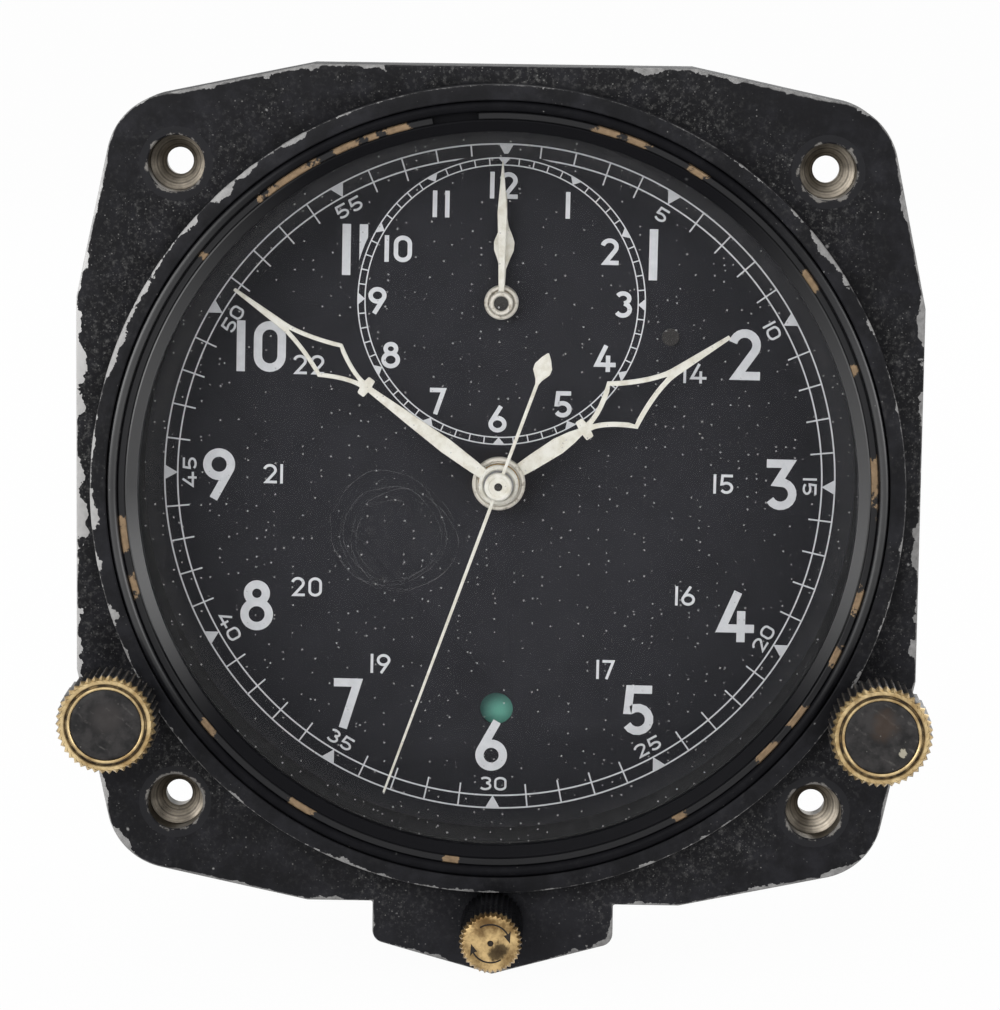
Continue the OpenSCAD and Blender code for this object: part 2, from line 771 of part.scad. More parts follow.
// Rockers that carry a push from the pushers to the works under the dial
module rocker_brackets() {
  side = rocker_w / 2 + bracket_gap;
  color([0.6, 0.58, 0.52]) stand() for (a = pusher_turns) rotate(a) {
    for (s = [-1, 1]) translate([rocker_pivot - rocker_hub_r, s * (side + bracket_t / 2) - bracket_t / 2, front_z])
      cube([2 * rocker_hub_r, bracket_t, rocker_axis_z + rocker_hub_r - front_z]);
    translate([rocker_pivot, side + bracket_t / 2, rocker_axis_z]) rotate([90, 0, 0])
      cylinder(r = rocker_pin_r, h = 2 * side + bracket_t);
  }
}

module rocker(a) {
  color([0.66, 0.64, 0.58]) stand() rotate(a) difference() {
    union() {
      translate([rocker_inner, -rocker_w / 2, rocker_z]) cube([pusher_dist - rocker_inner, rocker_w, rocker_t]);
      at([pusher_dist, 0]) rod(rocker_w / 2, rocker_z, rocker_z + rocker_t);
      translate([rocker_pivot, rocker_w / 2, rocker_axis_z]) rotate([90, 0, 0])
        cylinder(r = rocker_hub_r, h = rocker_w);
    }
    translate([rocker_pivot, rocker_w / 2 + over, rocker_axis_z]) rotate([90, 0, 0])
      cylinder(r = rocker_pin_r + run, h = rocker_w + 2 * over);
  }
}

module left_rocker() {
  rocker(pusher_turns[0]);
}

module right_rocker() {
  rocker(pusher_turns[1]);
}

// Pushers: a fluted brass cap on a stem, a black disc in its face and a spring under it
module pusher(a, r) {
  disc_r = r - border_w;
  color([0.72, 0.55, 0.27]) stand() at(polar(pusher_dist, a)) {
    difference() {
      intersection() {
        fluted(r, flute_depth, flutes, knob_z, knob_front);
        rotate_extrude() polygon([[0, knob_z], [r - 0.25, knob_z], [r + 0.1, knob_z + 0.35],
          [r + 0.1, knob_front - 0.5], [r - 0.45, knob_front], [disc_r + 0.55, knob_front],
          [disc_r + 0.35, knob_front - 0.25], [disc_r + 0.15, knob_front - 0.05], [0, knob_front - 0.05]]);
      }
      rod(knob_bore_r, knob_z - over, knob_front - knob_roof);
      rod(disc_r, knob_front - disc_seat, knob_front + over);
    }
    rod(push_stem_r, rocker_z + rocker_t + 0.5, knob_front - knob_roof + over / 4);
    rod(nose_r, rocker_z + rocker_t + nose_gap, rocker_z + rocker_t + 0.6);
  }
}

module pusher_disc(a, r) {
  color([0.1, 0.1, 0.11]) stand() at(polar(pusher_dist, a))
    rod(r - border_w - fit, knob_front - disc_seat, knob_front - disc_sink);
}

module pusher_spring(a) {
  color([0.6, 0.6, 0.6]) stand() at(polar(pusher_dist, a))
    tube(spring_r, spring_r - spring_wire, guide_top, knob_front - knob_roof);
}

module left_pusher() {
  pusher(pusher_turns[0], left_knob_r);
}

module left_pusher_disc() {
  pusher_disc(pusher_turns[0], left_knob_r);
}

module left_spring() {
  pusher_spring(pusher_turns[0]);
}

module right_pusher() {
  pusher(pusher_turns[1], right_knob_r);
}

module right_pusher_disc() {
  pusher_disc(pusher_turns[1], right_knob_r);
}

module right_spring() {
  pusher_spring(pusher_turns[1]);
}

// Winding knob, stem and sleeve
module winding_knob() {
  color([0.72, 0.55, 0.27]) stand() at(stem_at) difference() {
    intersection() {
      fluted(wind_knob_r, wind_flute_depth, wind_flutes, wind_knob_z, wind_knob_front);
      rotate_extrude() polygon([[0, wind_knob_z], [wind_knob_r - 0.4, wind_knob_z],
        [wind_knob_r + 0.1, wind_knob_z + 0.5], [wind_knob_r + 0.1, wind_knob_front - 0.35],
        [wind_knob_r - 0.3, wind_knob_front], [0, wind_knob_front]]);
    }
    rod(stem_r, wind_knob_z - over, stem_top);
    rod(0.3, stem_top - over, wind_knob_front + over);
  }
}

module winding_stem() {
  color([0.6, 0.6, 0.58]) stand() at(stem_at) {
    rod(stem_r, stem_low, stem_top);
    gear(wind_pinion_teeth, wind_m, wind_z - 0.1, wind_gear_t + 0.2, 90);
    rod(collar_r, sleeve_z - collar_t - shake, sleeve_z - shake);
    rod(collar_r, sleeve_z + sleeve_h + shake, sleeve_z + sleeve_h + shake + collar_t);
  }
}

module stem_sleeve() {
  color([0.5, 0.5, 0.5]) stand() at(stem_at) difference() {
    tube(sleeve_r, stem_r + run, sleeve_z, sleeve_z + sleeve_h);
    tube(sleeve_r + over, sleeve_r - 0.7, sleeve_z + sleeve_h / 3, sleeve_z + 2 * sleeve_h / 3);
  }
}

transmission_phase = mesh_turn(90, wind_pinion_teeth, transmission_teeth, 90);
ratchet_phase = mesh_turn(transmission_phase, transmission_teeth, ratchet_teeth, barrel_turn);

module transmission_wheel() {
  color([0.66, 0.56, 0.32]) stand() at(transmission_at) difference() {
    gear(transmission_teeth, wind_m, wind_z, wind_gear_t, transmission_phase);
    rod(transmission_r + run, wind_z - over, wind_z + wind_gear_t + over);
  }
}

module ratchet_wheel() {
  color([0.62, 0.62, 0.6]) stand() at(barrel_at) difference() {
    gear(ratchet_teeth, wind_m, wind_z, wind_gear_t, ratchet_phase);
    rod(barrel_arbor_r, wind_z - over, wind_z + wind_gear_t + over);
  }
}

module click() {
  color([0.6, 0.6, 0.58]) stand() at(barrel_at) rotate(click_turn) difference() {
    slab(wind_z + 0.1, wind_z + wind_gear_t - 0.1) {
      polygon([[click_tip, 0], [click_tip + 1, -0.2], [click_pivot[0] + 0.9, click_pivot[1] - 0.6],
        [click_pivot[0] - 0.8, click_pivot[1] + 0.4]]);
      translate(click_pivot) circle(click_boss_r);
    }
    at(click_pivot) rod(plate_screw_r + run, wind_z - over, wind_z + wind_gear_t + over);
  }
}

module click_spring() {
  reach = click_spring_at[0] - click_tip - 1.45;
  color([0.45, 0.47, 0.5]) stand() at(barrel_at) rotate(click_turn) {
    at(click_spring_at) {
      rod(1.1, wind_z + 0.2, back_z);
      rod(plate_screw_r, back_z - over / 4, train_low);
    }
    translate([click_spring_at[0] - reach, click_spring_at[1] - 0.15, wind_z + 0.3]) cube([reach, 0.3, 0.6]);
  }
}

// Going train
barrel_way = heading(barrel_at, inter_at);
inter_way = heading(inter_at, [0, 0]);
third_way = heading([0, 0], third_at);
fourth_way = heading(third_at, fourth_at);
escape_way = heading(fourth_at, escape_at);

module barrel_arbor() {
  color([0.6, 0.6, 0.58]) stand() at(barrel_at) {
    rod(barrel_arbor_r, wind_z - 0.5, front_z - shake);
    rod(barrel_hub_r, barrel_low + barrel_wall + shake, barrel_top - barrel_wall - shake);
  }
}

module barrel() {
  color([0.74, 0.62, 0.33]) stand() at(barrel_at) difference() {
    union() {
      rod(barrel_r, barrel_low, barrel_top);
      gear(barrel_teeth, barrel_m, barrel_low + 0.1, barrel_rim_t, barrel_way);
    }
    rod(barrel_r - barrel_wall, barrel_low + barrel_wall, barrel_top - barrel_wall);
    rod(barrel_arbor_r + run, barrel_low - over, barrel_top + over);
  }
}

module mainspring() {
  gap = 0.2;
  color([0.4, 0.42, 0.46]) stand() at(barrel_at)
    tube(barrel_r - barrel_wall - gap, barrel_hub_r + gap, barrel_low + barrel_wall + gap,
      barrel_top - barrel_wall - gap);
}

module intermediate_wheel() {
  color([0.74, 0.62, 0.33]) stand() at(inter_at) {
    arbor();
    gear(inter_teeth, inter_m, inter_z, wheel_t, inter_way);
    gear(inter_pinion_teeth, barrel_m, barrel_low, pinion_t, barrel_way + 180 + 180 / inter_pinion_teeth);
  }
}

module centre_wheel() {
  color([0.74, 0.62, 0.33]) stand() difference() {
    union() {
      rod(centre_r, back_z + shake, minute_z - 0.2);
      gear(centre_teeth, centre_m, centre_z, wheel_t, third_way);
      gear(centre_pinion_teeth, inter_m, inter_z - 0.4, pinion_t, inter_way + 180 + 180 / centre_pinion_teeth);
    }
    rod(second_r + run, back_z - over, minute_z + over);
  }
}

// The third arbor runs on through the back plate to a wheel that drives the seconds arbor
module third_wheel() {
  color([0.74, 0.62, 0.33]) stand() at(third_at) {
    arbor();
    rod(arbor_r, sweep_z, train_low + over);
    gear(sweep_teeth, sweep_m, sweep_z, wheel_t, third_way + 180);
    gear(third_teeth, third_m, third_z, wheel_t, fourth_way);
    gear(third_pinion_teeth, centre_m, centre_z - 0.4, pinion_t, third_way + 180 + 180 / third_pinion_teeth);
  }
}

module fourth_wheel() {
  color([0.74, 0.62, 0.33]) stand() at(fourth_at) {
    arbor();
    gear(fourth_teeth, fourth_m, fourth_z, wheel_t, escape_way);
    gear(fourth_pinion_teeth, third_m, third_z - 0.4, pinion_t, fourth_way + 180 + 180 / fourth_pinion_teeth);
  }
}

module escape_wheel() {
  pitch = 360 / escape_teeth;
  root = escape_r - 1.2;
  color([0.74, 0.62, 0.33]) stand() at(escape_at) {
    arbor();
    gear(escape_pinion_teeth, fourth_m, fourth_z - 0.4, pinion_t, escape_way + 180 + 180 / escape_pinion_teeth);
    slab(escape_z, escape_z + wheel_t) polygon([for (i = [0:escape_teeth - 1])
      each [polar(root, i * pitch), polar(escape_r, (i + 0.35) * pitch), polar(escape_r, (i + 0.5) * pitch),
        polar(root, (i + 0.6) * pitch)]]);
  }
}

// Lever with two pallet arms facing the escape wheel and a forked tail facing the balance
module pallet_lever() {
  arm = [[-0.4, 0.5], [0.2, 2.6], [1, 2.5], [0.9, 2], [0.55, 0.4]];
  horn = [[-4.6, 0.3], [-5.2, 0.5], [-5.2, 0.9], [-4.4, 0.8]];
  color([0.62, 0.62, 0.6]) stand() at(pallet_at) {
    rod(staff_r, train_low + shake, train_top - shake);
    rod(pivot_r, train_low - plate_t + shake, train_top + plate_t - shake);
    rotate(lever_turn + 180) slab(escape_z, escape_z + wheel_t) {
      translate([-4.7, -0.35]) square([5.2, 0.7]);
      for (s = [-1, 1]) {
        polygon(mirrored(concat(arm, [[0, 0]]), 1, s));
        polygon(mirrored(concat(horn, [[-4.3, 0]]), 1, s));
      }
    }
  }
}

module balance_wheel() {
  rim_w = 1.2;
  color([0.76, 0.62, 0.34]) stand() at(balance_at) {
    tube(balance_r, balance_r - rim_w, balance_z, balance_z + balance_t);
    translate([-balance_r + rim_w / 2, -0.6, balance_z]) cube([2 * balance_r - rim_w, 1.2, balance_t]);
    rod(staff_r, cock_z + cock_t + shake, train_top - shake);
    rod(pivot_r, cock_z + shake, train_top + plate_t - shake);
    rod(roller_r, escape_z, escape_z + wheel_t);
  }
}

module hairspring() {
  color([0.35, 0.38, 0.5]) stand() at(balance_at)
    tube(balance_r / 2 - 0.4, staff_r + 0.4, hairspring_z, hairspring_z + 0.5);
}

// Motion work under the dial, and the same again for the trip dial
module cannon(r, bore, top) {
  difference() {
    union() {
      rod(r, cannon_z, top);
      gear(cannon_teeth, motion_m, cannon_z, cannon_gear_t, motion_turn);
    }
    rod(bore, cannon_z - over, top + over);
  }
}

module cannon_pinion() {
  color([0.62, 0.62, 0.6]) stand() cannon(cannon_r, centre_r + run, minute_z + hand_t + 0.1);
}

module hour_pipe(r, bore, top, turn) {
  difference() {
    union() {
      rod(r, hour_wheel_z, top);
      gear(hour_teeth, hour_m, hour_wheel_z, hour_gear_t, turn);
    }
    rod(bore, hour_wheel_z - over, top + over);
  }
}

module hour_wheel() {
  color([0.74, 0.62, 0.33]) stand()
    hour_pipe(hour_pipe_r, cannon_r + run, hour_z + hand_t + 0.1, motion_turn);
}

module motion_wheel(turn) {
  difference() {
    union() {
      gear(minute_teeth, motion_m, cannon_z, cannon_gear_t, turn + 180 + 180 / minute_teeth);
      rod(stud_head_r, cannon_z, hour_wheel_z);
      gear(minute_pinion_teeth, hour_m, hour_wheel_z, hour_gear_t, turn + 180 + 180 / minute_pinion_teeth);
    }
    rod(stud_r + run, cannon_z - over, stud_top + over);
  }
}

module minute_wheel() {
  color([0.74, 0.62, 0.33]) stand() at(minute_wheel_at) motion_wheel(motion_turn);
}

module trip_arbor() {
  color([0.62, 0.62, 0.6]) stand() at(trip_at) {
    rod(trip_arbor_r, train_top + shake, trip_minute_z + hand_t + 0.3);
    gear(cannon_teeth, motion_m, cannon_z, cannon_gear_t, trip_motion_turn);
  }
}

module trip_hour_wheel() {
  color([0.74, 0.62, 0.33]) stand() at(trip_at)
    hour_pipe(trip_pipe_r, trip_arbor_r + run, trip_hour_z + hand_t + 0.15, trip_motion_turn);
}

module trip_minute_wheel() {
  color([0.74, 0.62, 0.33]) stand() at(trip_wheel_at) motion_wheel(trip_motion_turn);
}

// Flag seen through the dial window: a disc on an arbor with a star wheel
module flag_disc() {
  color([0.2, 0.45, 0.4]) stand() at(flag_at) {
    rod(flag_r, flag_z, flag_z + flag_t);
    rod(staff_r, train_top + shake, flag_z + flag_t);
    slab(flag_z - 2.2, flag_z - 1.2)
      polygon([for (i = [0:11]) polar(i % 2 == 0 ? flag_star_r : flag_star_r - 0.8, 30 * i)]);
  }
}

// Hands point along +y before they are turned to their place at rest
module boss(r, bore, z0, t) {
  tube(r, bore, z0, z0 + t);
}

// One side of a lozenge hand: a leaf, a cross bar, a curved open lozenge and a fine point
function lozenge_side(collar, wide, half, fork, w, n = 6) = concat(
  [for (i = [0:n]) let (s = i / n)
    [0.35 + (half - 0.35) * pow(s, 1.35), collar + (wide - collar) * s]],
  [for (i = [1:n]) let (s = i / n)
    [w + (half - w) * pow(1 - s, 1.5), wide + (fork - wide) * s]]);

module lozenge_frame(collar, wide, half, fork, strip) {
  edge = lozenge_side(collar, wide, half, fork, 0.18);
  hole = lozenge_side(collar + 2.6 * strip, wide - 0.1, half - 1.25 * strip, fork - 3.4 * strip, 0.01);
  difference() {
    polygon(concat(edge, flip(mirrored(edge, -1, 1))));
    polygon(concat([[0, collar + 1.6 * strip]], [for (i = [1:len(hole) - 1]) hole[i]],
      flip(mirrored([for (i = [1:len(hole) - 1]) hole[i]], -1, 1))));
  }
}

module lozenge_hand(l, leaf_half, collar, collar_half, wide, half, fork, strip) {
  polygon([[-leaf_half * 0.75, 1.2], [leaf_half * 0.75, 1.2], [leaf_half, collar * 0.45], [0.32, collar],
    [-0.32, collar], [-leaf_half, collar * 0.45]]);
  translate([-collar_half, collar - 0.3]) square([2 * collar_half, 0.7]);
  lozenge_frame(collar, wide, half, fork, strip);
  polygon([[-0.22, fork - 0.4], [0.22, fork - 0.4], [0.14, l], [-0.14, l]]);
}

module minute_hand() {
  color([0.86, 0.85, 0.78]) stand() rotate(-minute_turn) {
    difference() {
      slab(minute_z, minute_z + hand_t) lozenge_hand(minute_l, 0.66, minute_l * 0.5, 0.87, minute_l * 0.635, 2,
        minute_l * 0.77, 0.4);
      rod(cannon_r, minute_z - over, minute_z + over);
    }
    boss(minute_boss_r, cannon_r, minute_z - 0.3, boss_t);
  }
}

module hour_hand() {
  color([0.86, 0.85, 0.78]) stand() rotate(-hour_turn) {
    difference() {
      slab(hour_z, hour_z + hand_t) lozenge_hand(hour_l, 0.9, hour_l * 0.375, 0.95, hour_l * 0.535, 2.75,
        hour_l * 0.75, 0.45);
      rod(hour_pipe_r, hour_z - over, hour_z + over);
    }
    boss(hour_boss_r, hour_pipe_r, hour_z - 0.4, boss_t);
  }
}

module second_hand() {
  leaf = 3.3;
  leaf_half = 0.9;
  color([0.88, 0.87, 0.8]) stand() rotate(-second_turn) {
    difference() {
      slab(second_z, second_z + hand_t) {
        polygon([[-0.17, -tail_l + leaf / 2], [0.17, -tail_l + leaf / 2], [0.17, 0], [0.12, second_l],
          [-0.12, second_l], [-0.17, 0]]);
        polygon([for (s = [0:0.125:2]) let (t = s <= 1 ? s : 2 - s, side = s <= 1 ? 1 : -1)
          [side * leaf_half * sin(180 * pow(t, 1.4)), -tail_l + leaf * t]]);
      }
      rod(second_r, second_z - over, second_z + over);
    }
    boss(second_boss_r, second_r, second_z - 0.4, boss_t);
  }
}

module second_arbor() {
  color([0.6, 0.6, 0.58]) stand() {
    rod(second_r, sweep_z - 1, second_z + 0.4);
    gear(sweep_pinion_teeth, sweep_m, sweep_z - 0.3, wheel_t + 0.6, third_way + 180 / sweep_pinion_teeth);
  }
}

module trip_minute_hand() {
  color([0.86, 0.85, 0.78]) stand() at(trip_at) {
    difference() {
      slab(trip_minute_z, trip_minute_z + hand_t) polygon([[-0.26, 0], [0.26, 0], [0.34, trip_minute_l * 0.33],
        [0.48, trip_minute_l * 0.62], [0.1, trip_minute_l], [-0.1, trip_minute_l], [-0.48, trip_minute_l * 0.62],
        [-0.34, trip_minute_l * 0.33]]);
      rod(trip_arbor_r, trip_minute_z - over, trip_minute_z + over);
    }
    boss(trip_pipe_r, trip_arbor_r, trip_minute_z - 0.2, 0.55);
  }
}

module trip_hour_hand() {
  bulb = 5.7;
  bulb_r = 1.05;
  color([0.86, 0.85, 0.78]) stand() at(trip_at) rotate(-trip_hour_turn) {
    difference() {
      slab(trip_hour_z, trip_hour_z + hand_t) {
        polygon([[-0.3, 0], [0.3, 0], [0.35, bulb], [-0.35, bulb]]);
        translate([0, bulb]) circle(bulb_r);
        polygon([[-bulb_r * 0.94, bulb + 0.35], [bulb_r * 0.94, bulb + 0.35], [0.3, bulb + 1.7], [0.08, trip_hour_l],
          [-0.08, trip_hour_l], [-0.3, bulb + 1.7]]);
      }
      rod(trip_pipe_r, trip_hour_z - over, trip_hour_z + over);
    }
    boss(trip_boss_r, trip_pipe_r, trip_hour_z - 0.25, 0.7);
  }
}

case_front();
mounting_bushes();
glass_seal();
glass();
bezel_ring();
snap_ring();
dial();
dial_screw();
spacer_ring();
front_plate();
back_plate();
pillars();
movement_screws();
lock_ring();
back_cover();
back_seal();
back_screws();
guide_bushes();
balance_cock();
click_spring();
rocker_brackets();
click();
minute_hand();
cannon_pinion();
hour_hand();
hour_wheel();
minute_wheel();
second_hand();
second_arbor();
trip_minute_hand();
trip_arbor();
trip_hour_hand();
trip_hour_wheel();
trip_minute_wheel();
flag_disc();
left_pusher();
left_pusher_disc();
left_spring();
left_rocker();
right_pusher();
right_pusher_disc();
right_spring();
right_rocker();
stem_sleeve();
winding_knob();
winding_stem();
transmission_wheel();
ratchet_wheel();
barrel_arbor();
barrel();
mainspring();
intermediate_wheel();
centre_wheel();
third_wheel();
fourth_wheel();
escape_wheel();
pallet_lever();
balance_wheel();
hairspring();
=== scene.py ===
# %% [markdown]
# # A panel clock for an aircraft
#
# This lesson dresses a finished mechanical model of a clock so that it looks like the real one: an old
# black case with chipped paint, a printed dial behind glass, cream hands, two fluted pushers and a
# winding knob. The mechanical model comes first. It is loaded as a fixed frame, and everything below
# rides on its moving bodies.

# %% Load the frame
import math
import bpy
from mathutils import Matrix, Vector


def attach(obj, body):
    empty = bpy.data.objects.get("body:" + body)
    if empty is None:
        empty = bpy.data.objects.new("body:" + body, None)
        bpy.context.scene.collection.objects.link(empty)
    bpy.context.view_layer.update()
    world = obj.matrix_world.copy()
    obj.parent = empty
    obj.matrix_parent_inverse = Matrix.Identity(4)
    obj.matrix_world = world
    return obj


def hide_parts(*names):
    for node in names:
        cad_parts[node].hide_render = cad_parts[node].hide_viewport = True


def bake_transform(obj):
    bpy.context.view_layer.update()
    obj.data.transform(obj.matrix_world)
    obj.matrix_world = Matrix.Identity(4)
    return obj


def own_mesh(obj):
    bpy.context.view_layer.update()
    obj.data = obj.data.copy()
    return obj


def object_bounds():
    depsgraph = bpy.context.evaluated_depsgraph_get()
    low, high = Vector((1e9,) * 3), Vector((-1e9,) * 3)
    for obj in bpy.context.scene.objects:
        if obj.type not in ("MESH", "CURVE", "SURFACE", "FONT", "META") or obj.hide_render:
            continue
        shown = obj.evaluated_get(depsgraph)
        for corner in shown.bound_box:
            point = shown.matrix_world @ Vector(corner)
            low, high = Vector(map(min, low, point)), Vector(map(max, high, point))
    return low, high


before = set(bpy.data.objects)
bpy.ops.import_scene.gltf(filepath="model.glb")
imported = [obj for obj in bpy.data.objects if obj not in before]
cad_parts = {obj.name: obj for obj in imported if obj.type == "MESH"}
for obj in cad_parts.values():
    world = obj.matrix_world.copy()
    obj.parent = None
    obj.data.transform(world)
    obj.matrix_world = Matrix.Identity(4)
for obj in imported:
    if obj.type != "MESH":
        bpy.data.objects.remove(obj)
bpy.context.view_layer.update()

# %% [markdown]
# ## Places and simple tools
#
# Watchmakers think of a dial as a flat page: right, up, and height towards the viewer, all in
# millimetres. `place` turns such a triple into a point of the scene, where the dial faces along minus Y
# and lengths are in metres. The other helpers do what hands do in the program: select, edit, apply a
# modifier, cut one piece with another.

# %% Places and simple tools
MM = 0.001


def place(x, y, z):
    return Vector((x * MM, -z * MM, y * MM))


def pick(piece):
    bpy.ops.object.select_all(action="DESELECT")
    piece.select_set(True)
    bpy.context.view_layer.objects.active = piece


def start(name, points, edges=(), faces=()):
    mesh = bpy.data.meshes.new(name)
    mesh.from_pydata([place(*p) for p in points], edges, faces)
    piece = bpy.data.objects.new(name, mesh)
    bpy.context.scene.collection.objects.link(piece)
    pick(piece)
    bpy.ops.object.mode_set(mode="EDIT")
    bpy.ops.mesh.select_all(action="SELECT")
    return piece


def close():
    bpy.ops.mesh.select_all(action="SELECT")
    bpy.ops.mesh.remove_doubles(threshold=1e-7)
    bpy.ops.mesh.normals_make_consistent(inside=False)
    bpy.ops.object.mode_set(mode="OBJECT")


def modify(piece, kind, **settings):
    pick(piece)
    modifier = piece.modifiers.new(kind, kind)
    for key, value in settings.items():
        setattr(modifier, key, value)
    bpy.ops.object.modifier_apply(modifier=modifier.name)


def cut(piece, *tools):
    for tool in tools:
        modify(piece, "BOOLEAN", operation="DIFFERENCE", solver="EXACT", object=tool)
        bpy.data.objects.remove(tool)
    bpy.ops.object.mode_set(mode="EDIT")
    bpy.ops.mesh.select_all(action="SELECT")
    bpy.ops.mesh.fill_holes(sides=0)
    close()


def soften(piece, width, segments=2, angle=35):
    modify(piece, "BEVEL", width=width * MM, segments=segments, limit_method="ANGLE",
           angle_limit=math.radians(angle))


def smooth(piece, angle=35):
    pick(piece)
    bpy.ops.object.shade_smooth_by_angle(angle=math.radians(angle))


# %% [markdown]
# ## Two ways to make a part
#
# Nearly every part of a clock is either turned on a lathe or cut from sheet. `lathe` spins a chain of
# (radius, height) points round an axis, just as a tool sweeps round the work. `sheet` fills outlines
# with a face and pulls them up to their thickness, as a press or a fret saw would leave them.

# %% Two ways to make a part


def lathe(name, profile, centre=(0, 0), steps=180, angle=360, first=0):
    way = math.radians(first)
    points = [(centre[0] + r * math.cos(way), centre[1] + r * math.sin(way), z) for r, z in profile]
    edges = [(i, i + 1) for i in range(len(points) - 1)]
    if profile[0][0] > 0:
        edges.append((len(points) - 1, 0))
    piece = start(name, points, edges)
    bpy.ops.mesh.spin(steps=steps, angle=math.radians(angle), center=place(*centre, 0), axis=(0, -1, 0))
    if angle < 360:
        bpy.ops.mesh.select_all(action="SELECT")
        bpy.ops.mesh.fill_holes(sides=0)
    close()
    return piece


def sheet(name, outlines, low, high):
    points, faces = [], []
    for outline in outlines:
        faces.append(range(len(points), len(points) + len(outline)))
        points += [(x, y, low) for x, y in outline]
    piece = start(name, points, faces=faces)
    bpy.ops.mesh.remove_doubles(threshold=1e-7)
    bpy.ops.mesh.extrude_region_move(TRANSFORM_OT_translate={"value": (0, -(high - low) * MM, 0)})
    close()
    return piece


def bow(x, y, r, a0, a1, n=12, tall=1):
    turns = [math.radians(a0 + (a1 - a0) * i / n) for i in range(n + 1)]
    return [(x + r * math.cos(a), y + r * tall * math.sin(a)) for a in turns]


def drill(x, y, r, low=-40, high=30):
    return lathe("drill", [(0, low), (r, low), (r, high), (0, high)], (x, y), steps=72)


# %% [markdown]
# ## A small language for finishes
#
# A finish is a few sums over the place of each point: how far it is from an edge, how rough the noise
# is there. `Wire` lets those sums be written as ordinary sums. `Finish.node` adds any other shader
# node. `specks` scatters round grains: the page is split into cells, and a share of the cells hold a
# grain of their own size. Places are read in millimetres on the dial page, so a finish can use the same
# numbers as the drawing.

# %% A small language for finishes


class Wire:
    def __init__(self, finish, socket):
        self.finish, self.socket = finish, socket

    def sum(self, operation, *others):
        return self.finish.sum(operation, self, *others)

    def __add__(self, other):
        return self.sum("ADD", other)

    def __sub__(self, other):
        return self.sum("SUBTRACT", other)

    def __rsub__(self, other):
        return self.finish.sum("SUBTRACT", other, self)

    def __mul__(self, other):
        return self.sum("MULTIPLY", other)

    def __abs__(self):
        return self.sum("ABSOLUTE")

    __radd__, __rmul__ = __add__, __mul__


class Finish:
    def __init__(self, name):
        self.material = bpy.data.materials.new(name)
        self.material.use_nodes = True
        self.tree = self.material.node_tree
        self.shader = self.tree.nodes["Principled BSDF"]
        self.spot = self.node("ShaderNodeTexCoord", out="Object")
        axes = self.node("ShaderNodeSeparateXYZ", values={0: self.spot}).socket.node.outputs
        self.x = Wire(self, axes[0]) * 1000
        self.y = Wire(self, axes[2]) * 1000
        self.z = Wire(self, axes[1]) * -1000
        self.page = self.node("ShaderNodeCombineXYZ", values={0: self.x, 1: self.y})

    def node(self, kind, settings=None, values=None, out=0):
        made = self.tree.nodes.new(kind)
        for key, value in (settings or {}).items():
            setattr(made, key, value)
        for key, value in (values or {}).items():
            if isinstance(value, Wire):
                self.tree.links.new(value.socket, made.inputs[key])
            else:
                made.inputs[key].default_value = value
        return Wire(self, made.outputs[out])

    def sum(self, operation, *terms):
        return self.node("ShaderNodeMath", {"operation": operation}, dict(enumerate(terms)))

    def noise(self, per_mm, detail=3, rough=0.6):
        return self.node("ShaderNodeTexNoise", values={
            "Vector": self.spot, "Scale": per_mm * 1000, "Detail": detail, "Roughness": rough})

    def specks(self, per_mm, share, size, ragged=0.0):
        gap = self.node("ShaderNodeTexVoronoi", {"voronoi_dimensions": "2D"},
                        {"Vector": self.page, "Scale": per_mm})
        colour = Wire(self, gap.socket.node.outputs["Color"])
        chance = self.node("ShaderNodeSeparateColor", values={0: colour})
        if ragged:
            gap = gap + (self.noise(per_mm * 6, 4) - 0.5) * ragged
        grain = self.rise(chance, 1 - share, 1) * size
        return self.rise(gap - grain, 0, -0.04)

    def rise(self, value, low, high):
        return self.node("ShaderNodeMapRange", {"interpolation_type": "SMOOTHSTEP"},
                         {0: value, 1: low, 2: high})

    def blend(self, share, first, second):
        return self.node("ShaderNodeMix", {"data_type": "RGBA"}, {0: share, 6: first, 7: second}, out=2)

    def radius(self, x=0, y=0):
        across, up = self.x - x, self.y - y
        return (across * across + up * up).sum("SQRT")

    def bump(self, height, strength, mm=0.05):
        values = {"Height": height, "Strength": strength, "Distance": mm * MM}
        return self.node("ShaderNodeBump", values=values)

    def set(self, **values):
        for key, value in values.items():
            socket = self.shader.inputs[key.replace("_", " ")]
            if isinstance(value, Wire):
                self.tree.links.new(value.socket, socket)
            else:
                socket.default_value = value
        return self.material


def ink(red, green, blue):
    parts = [c / 255 for c in (red, green, blue)]
    return tuple(c / 12.92 if c <= 0.04045 else ((c + 0.055) / 1.055) ** 2.4 for c in parts) + (1,)


# %% [markdown]
# ## Putting a piece on its body
#
# A dressed piece takes a finish, rides on one moving body and says which plain piece of the frame it
# stands for.

# %% Putting a piece on its body
count = 0


def put(piece, body, material, *stands_for, slot=None):
    global count
    piece.data.materials.clear()
    piece.data.materials.append(material)
    if body:
        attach(piece, body)
    if stands_for:
        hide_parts(*stands_for)
    count += 1
    print("made", piece.name, "with", len(piece.data.polygons), "faces")


# %% [markdown]
# ## How far from an edge
#
# On the real case, paint goes first where things knock: along outer edges. So its finish has to know
# how far each point lies from an edge. The flange's outline is made of straight sides, round corners
# and a tab. The distance into each of them is a short sum, and the smallest or largest of these sums is
# the distance into the whole.

# %% How far from an edge
HOLE, SIDE, SIDE_END, EAR = 31.75, 41.55, 18.5, 6.85
SLANT, SLANT_FAR, DIAGONAL_FAR = (0.976, 0.218), 44.58, 50.69
TAB_HALF, TAB_TIP, TAB_SLOPE = 12, 48.85, (0.275, 0.964)


def lower(*terms):
    total = terms[0]
    for term in terms[1:]:
        total = total.sum("MINIMUM", term)
    return total


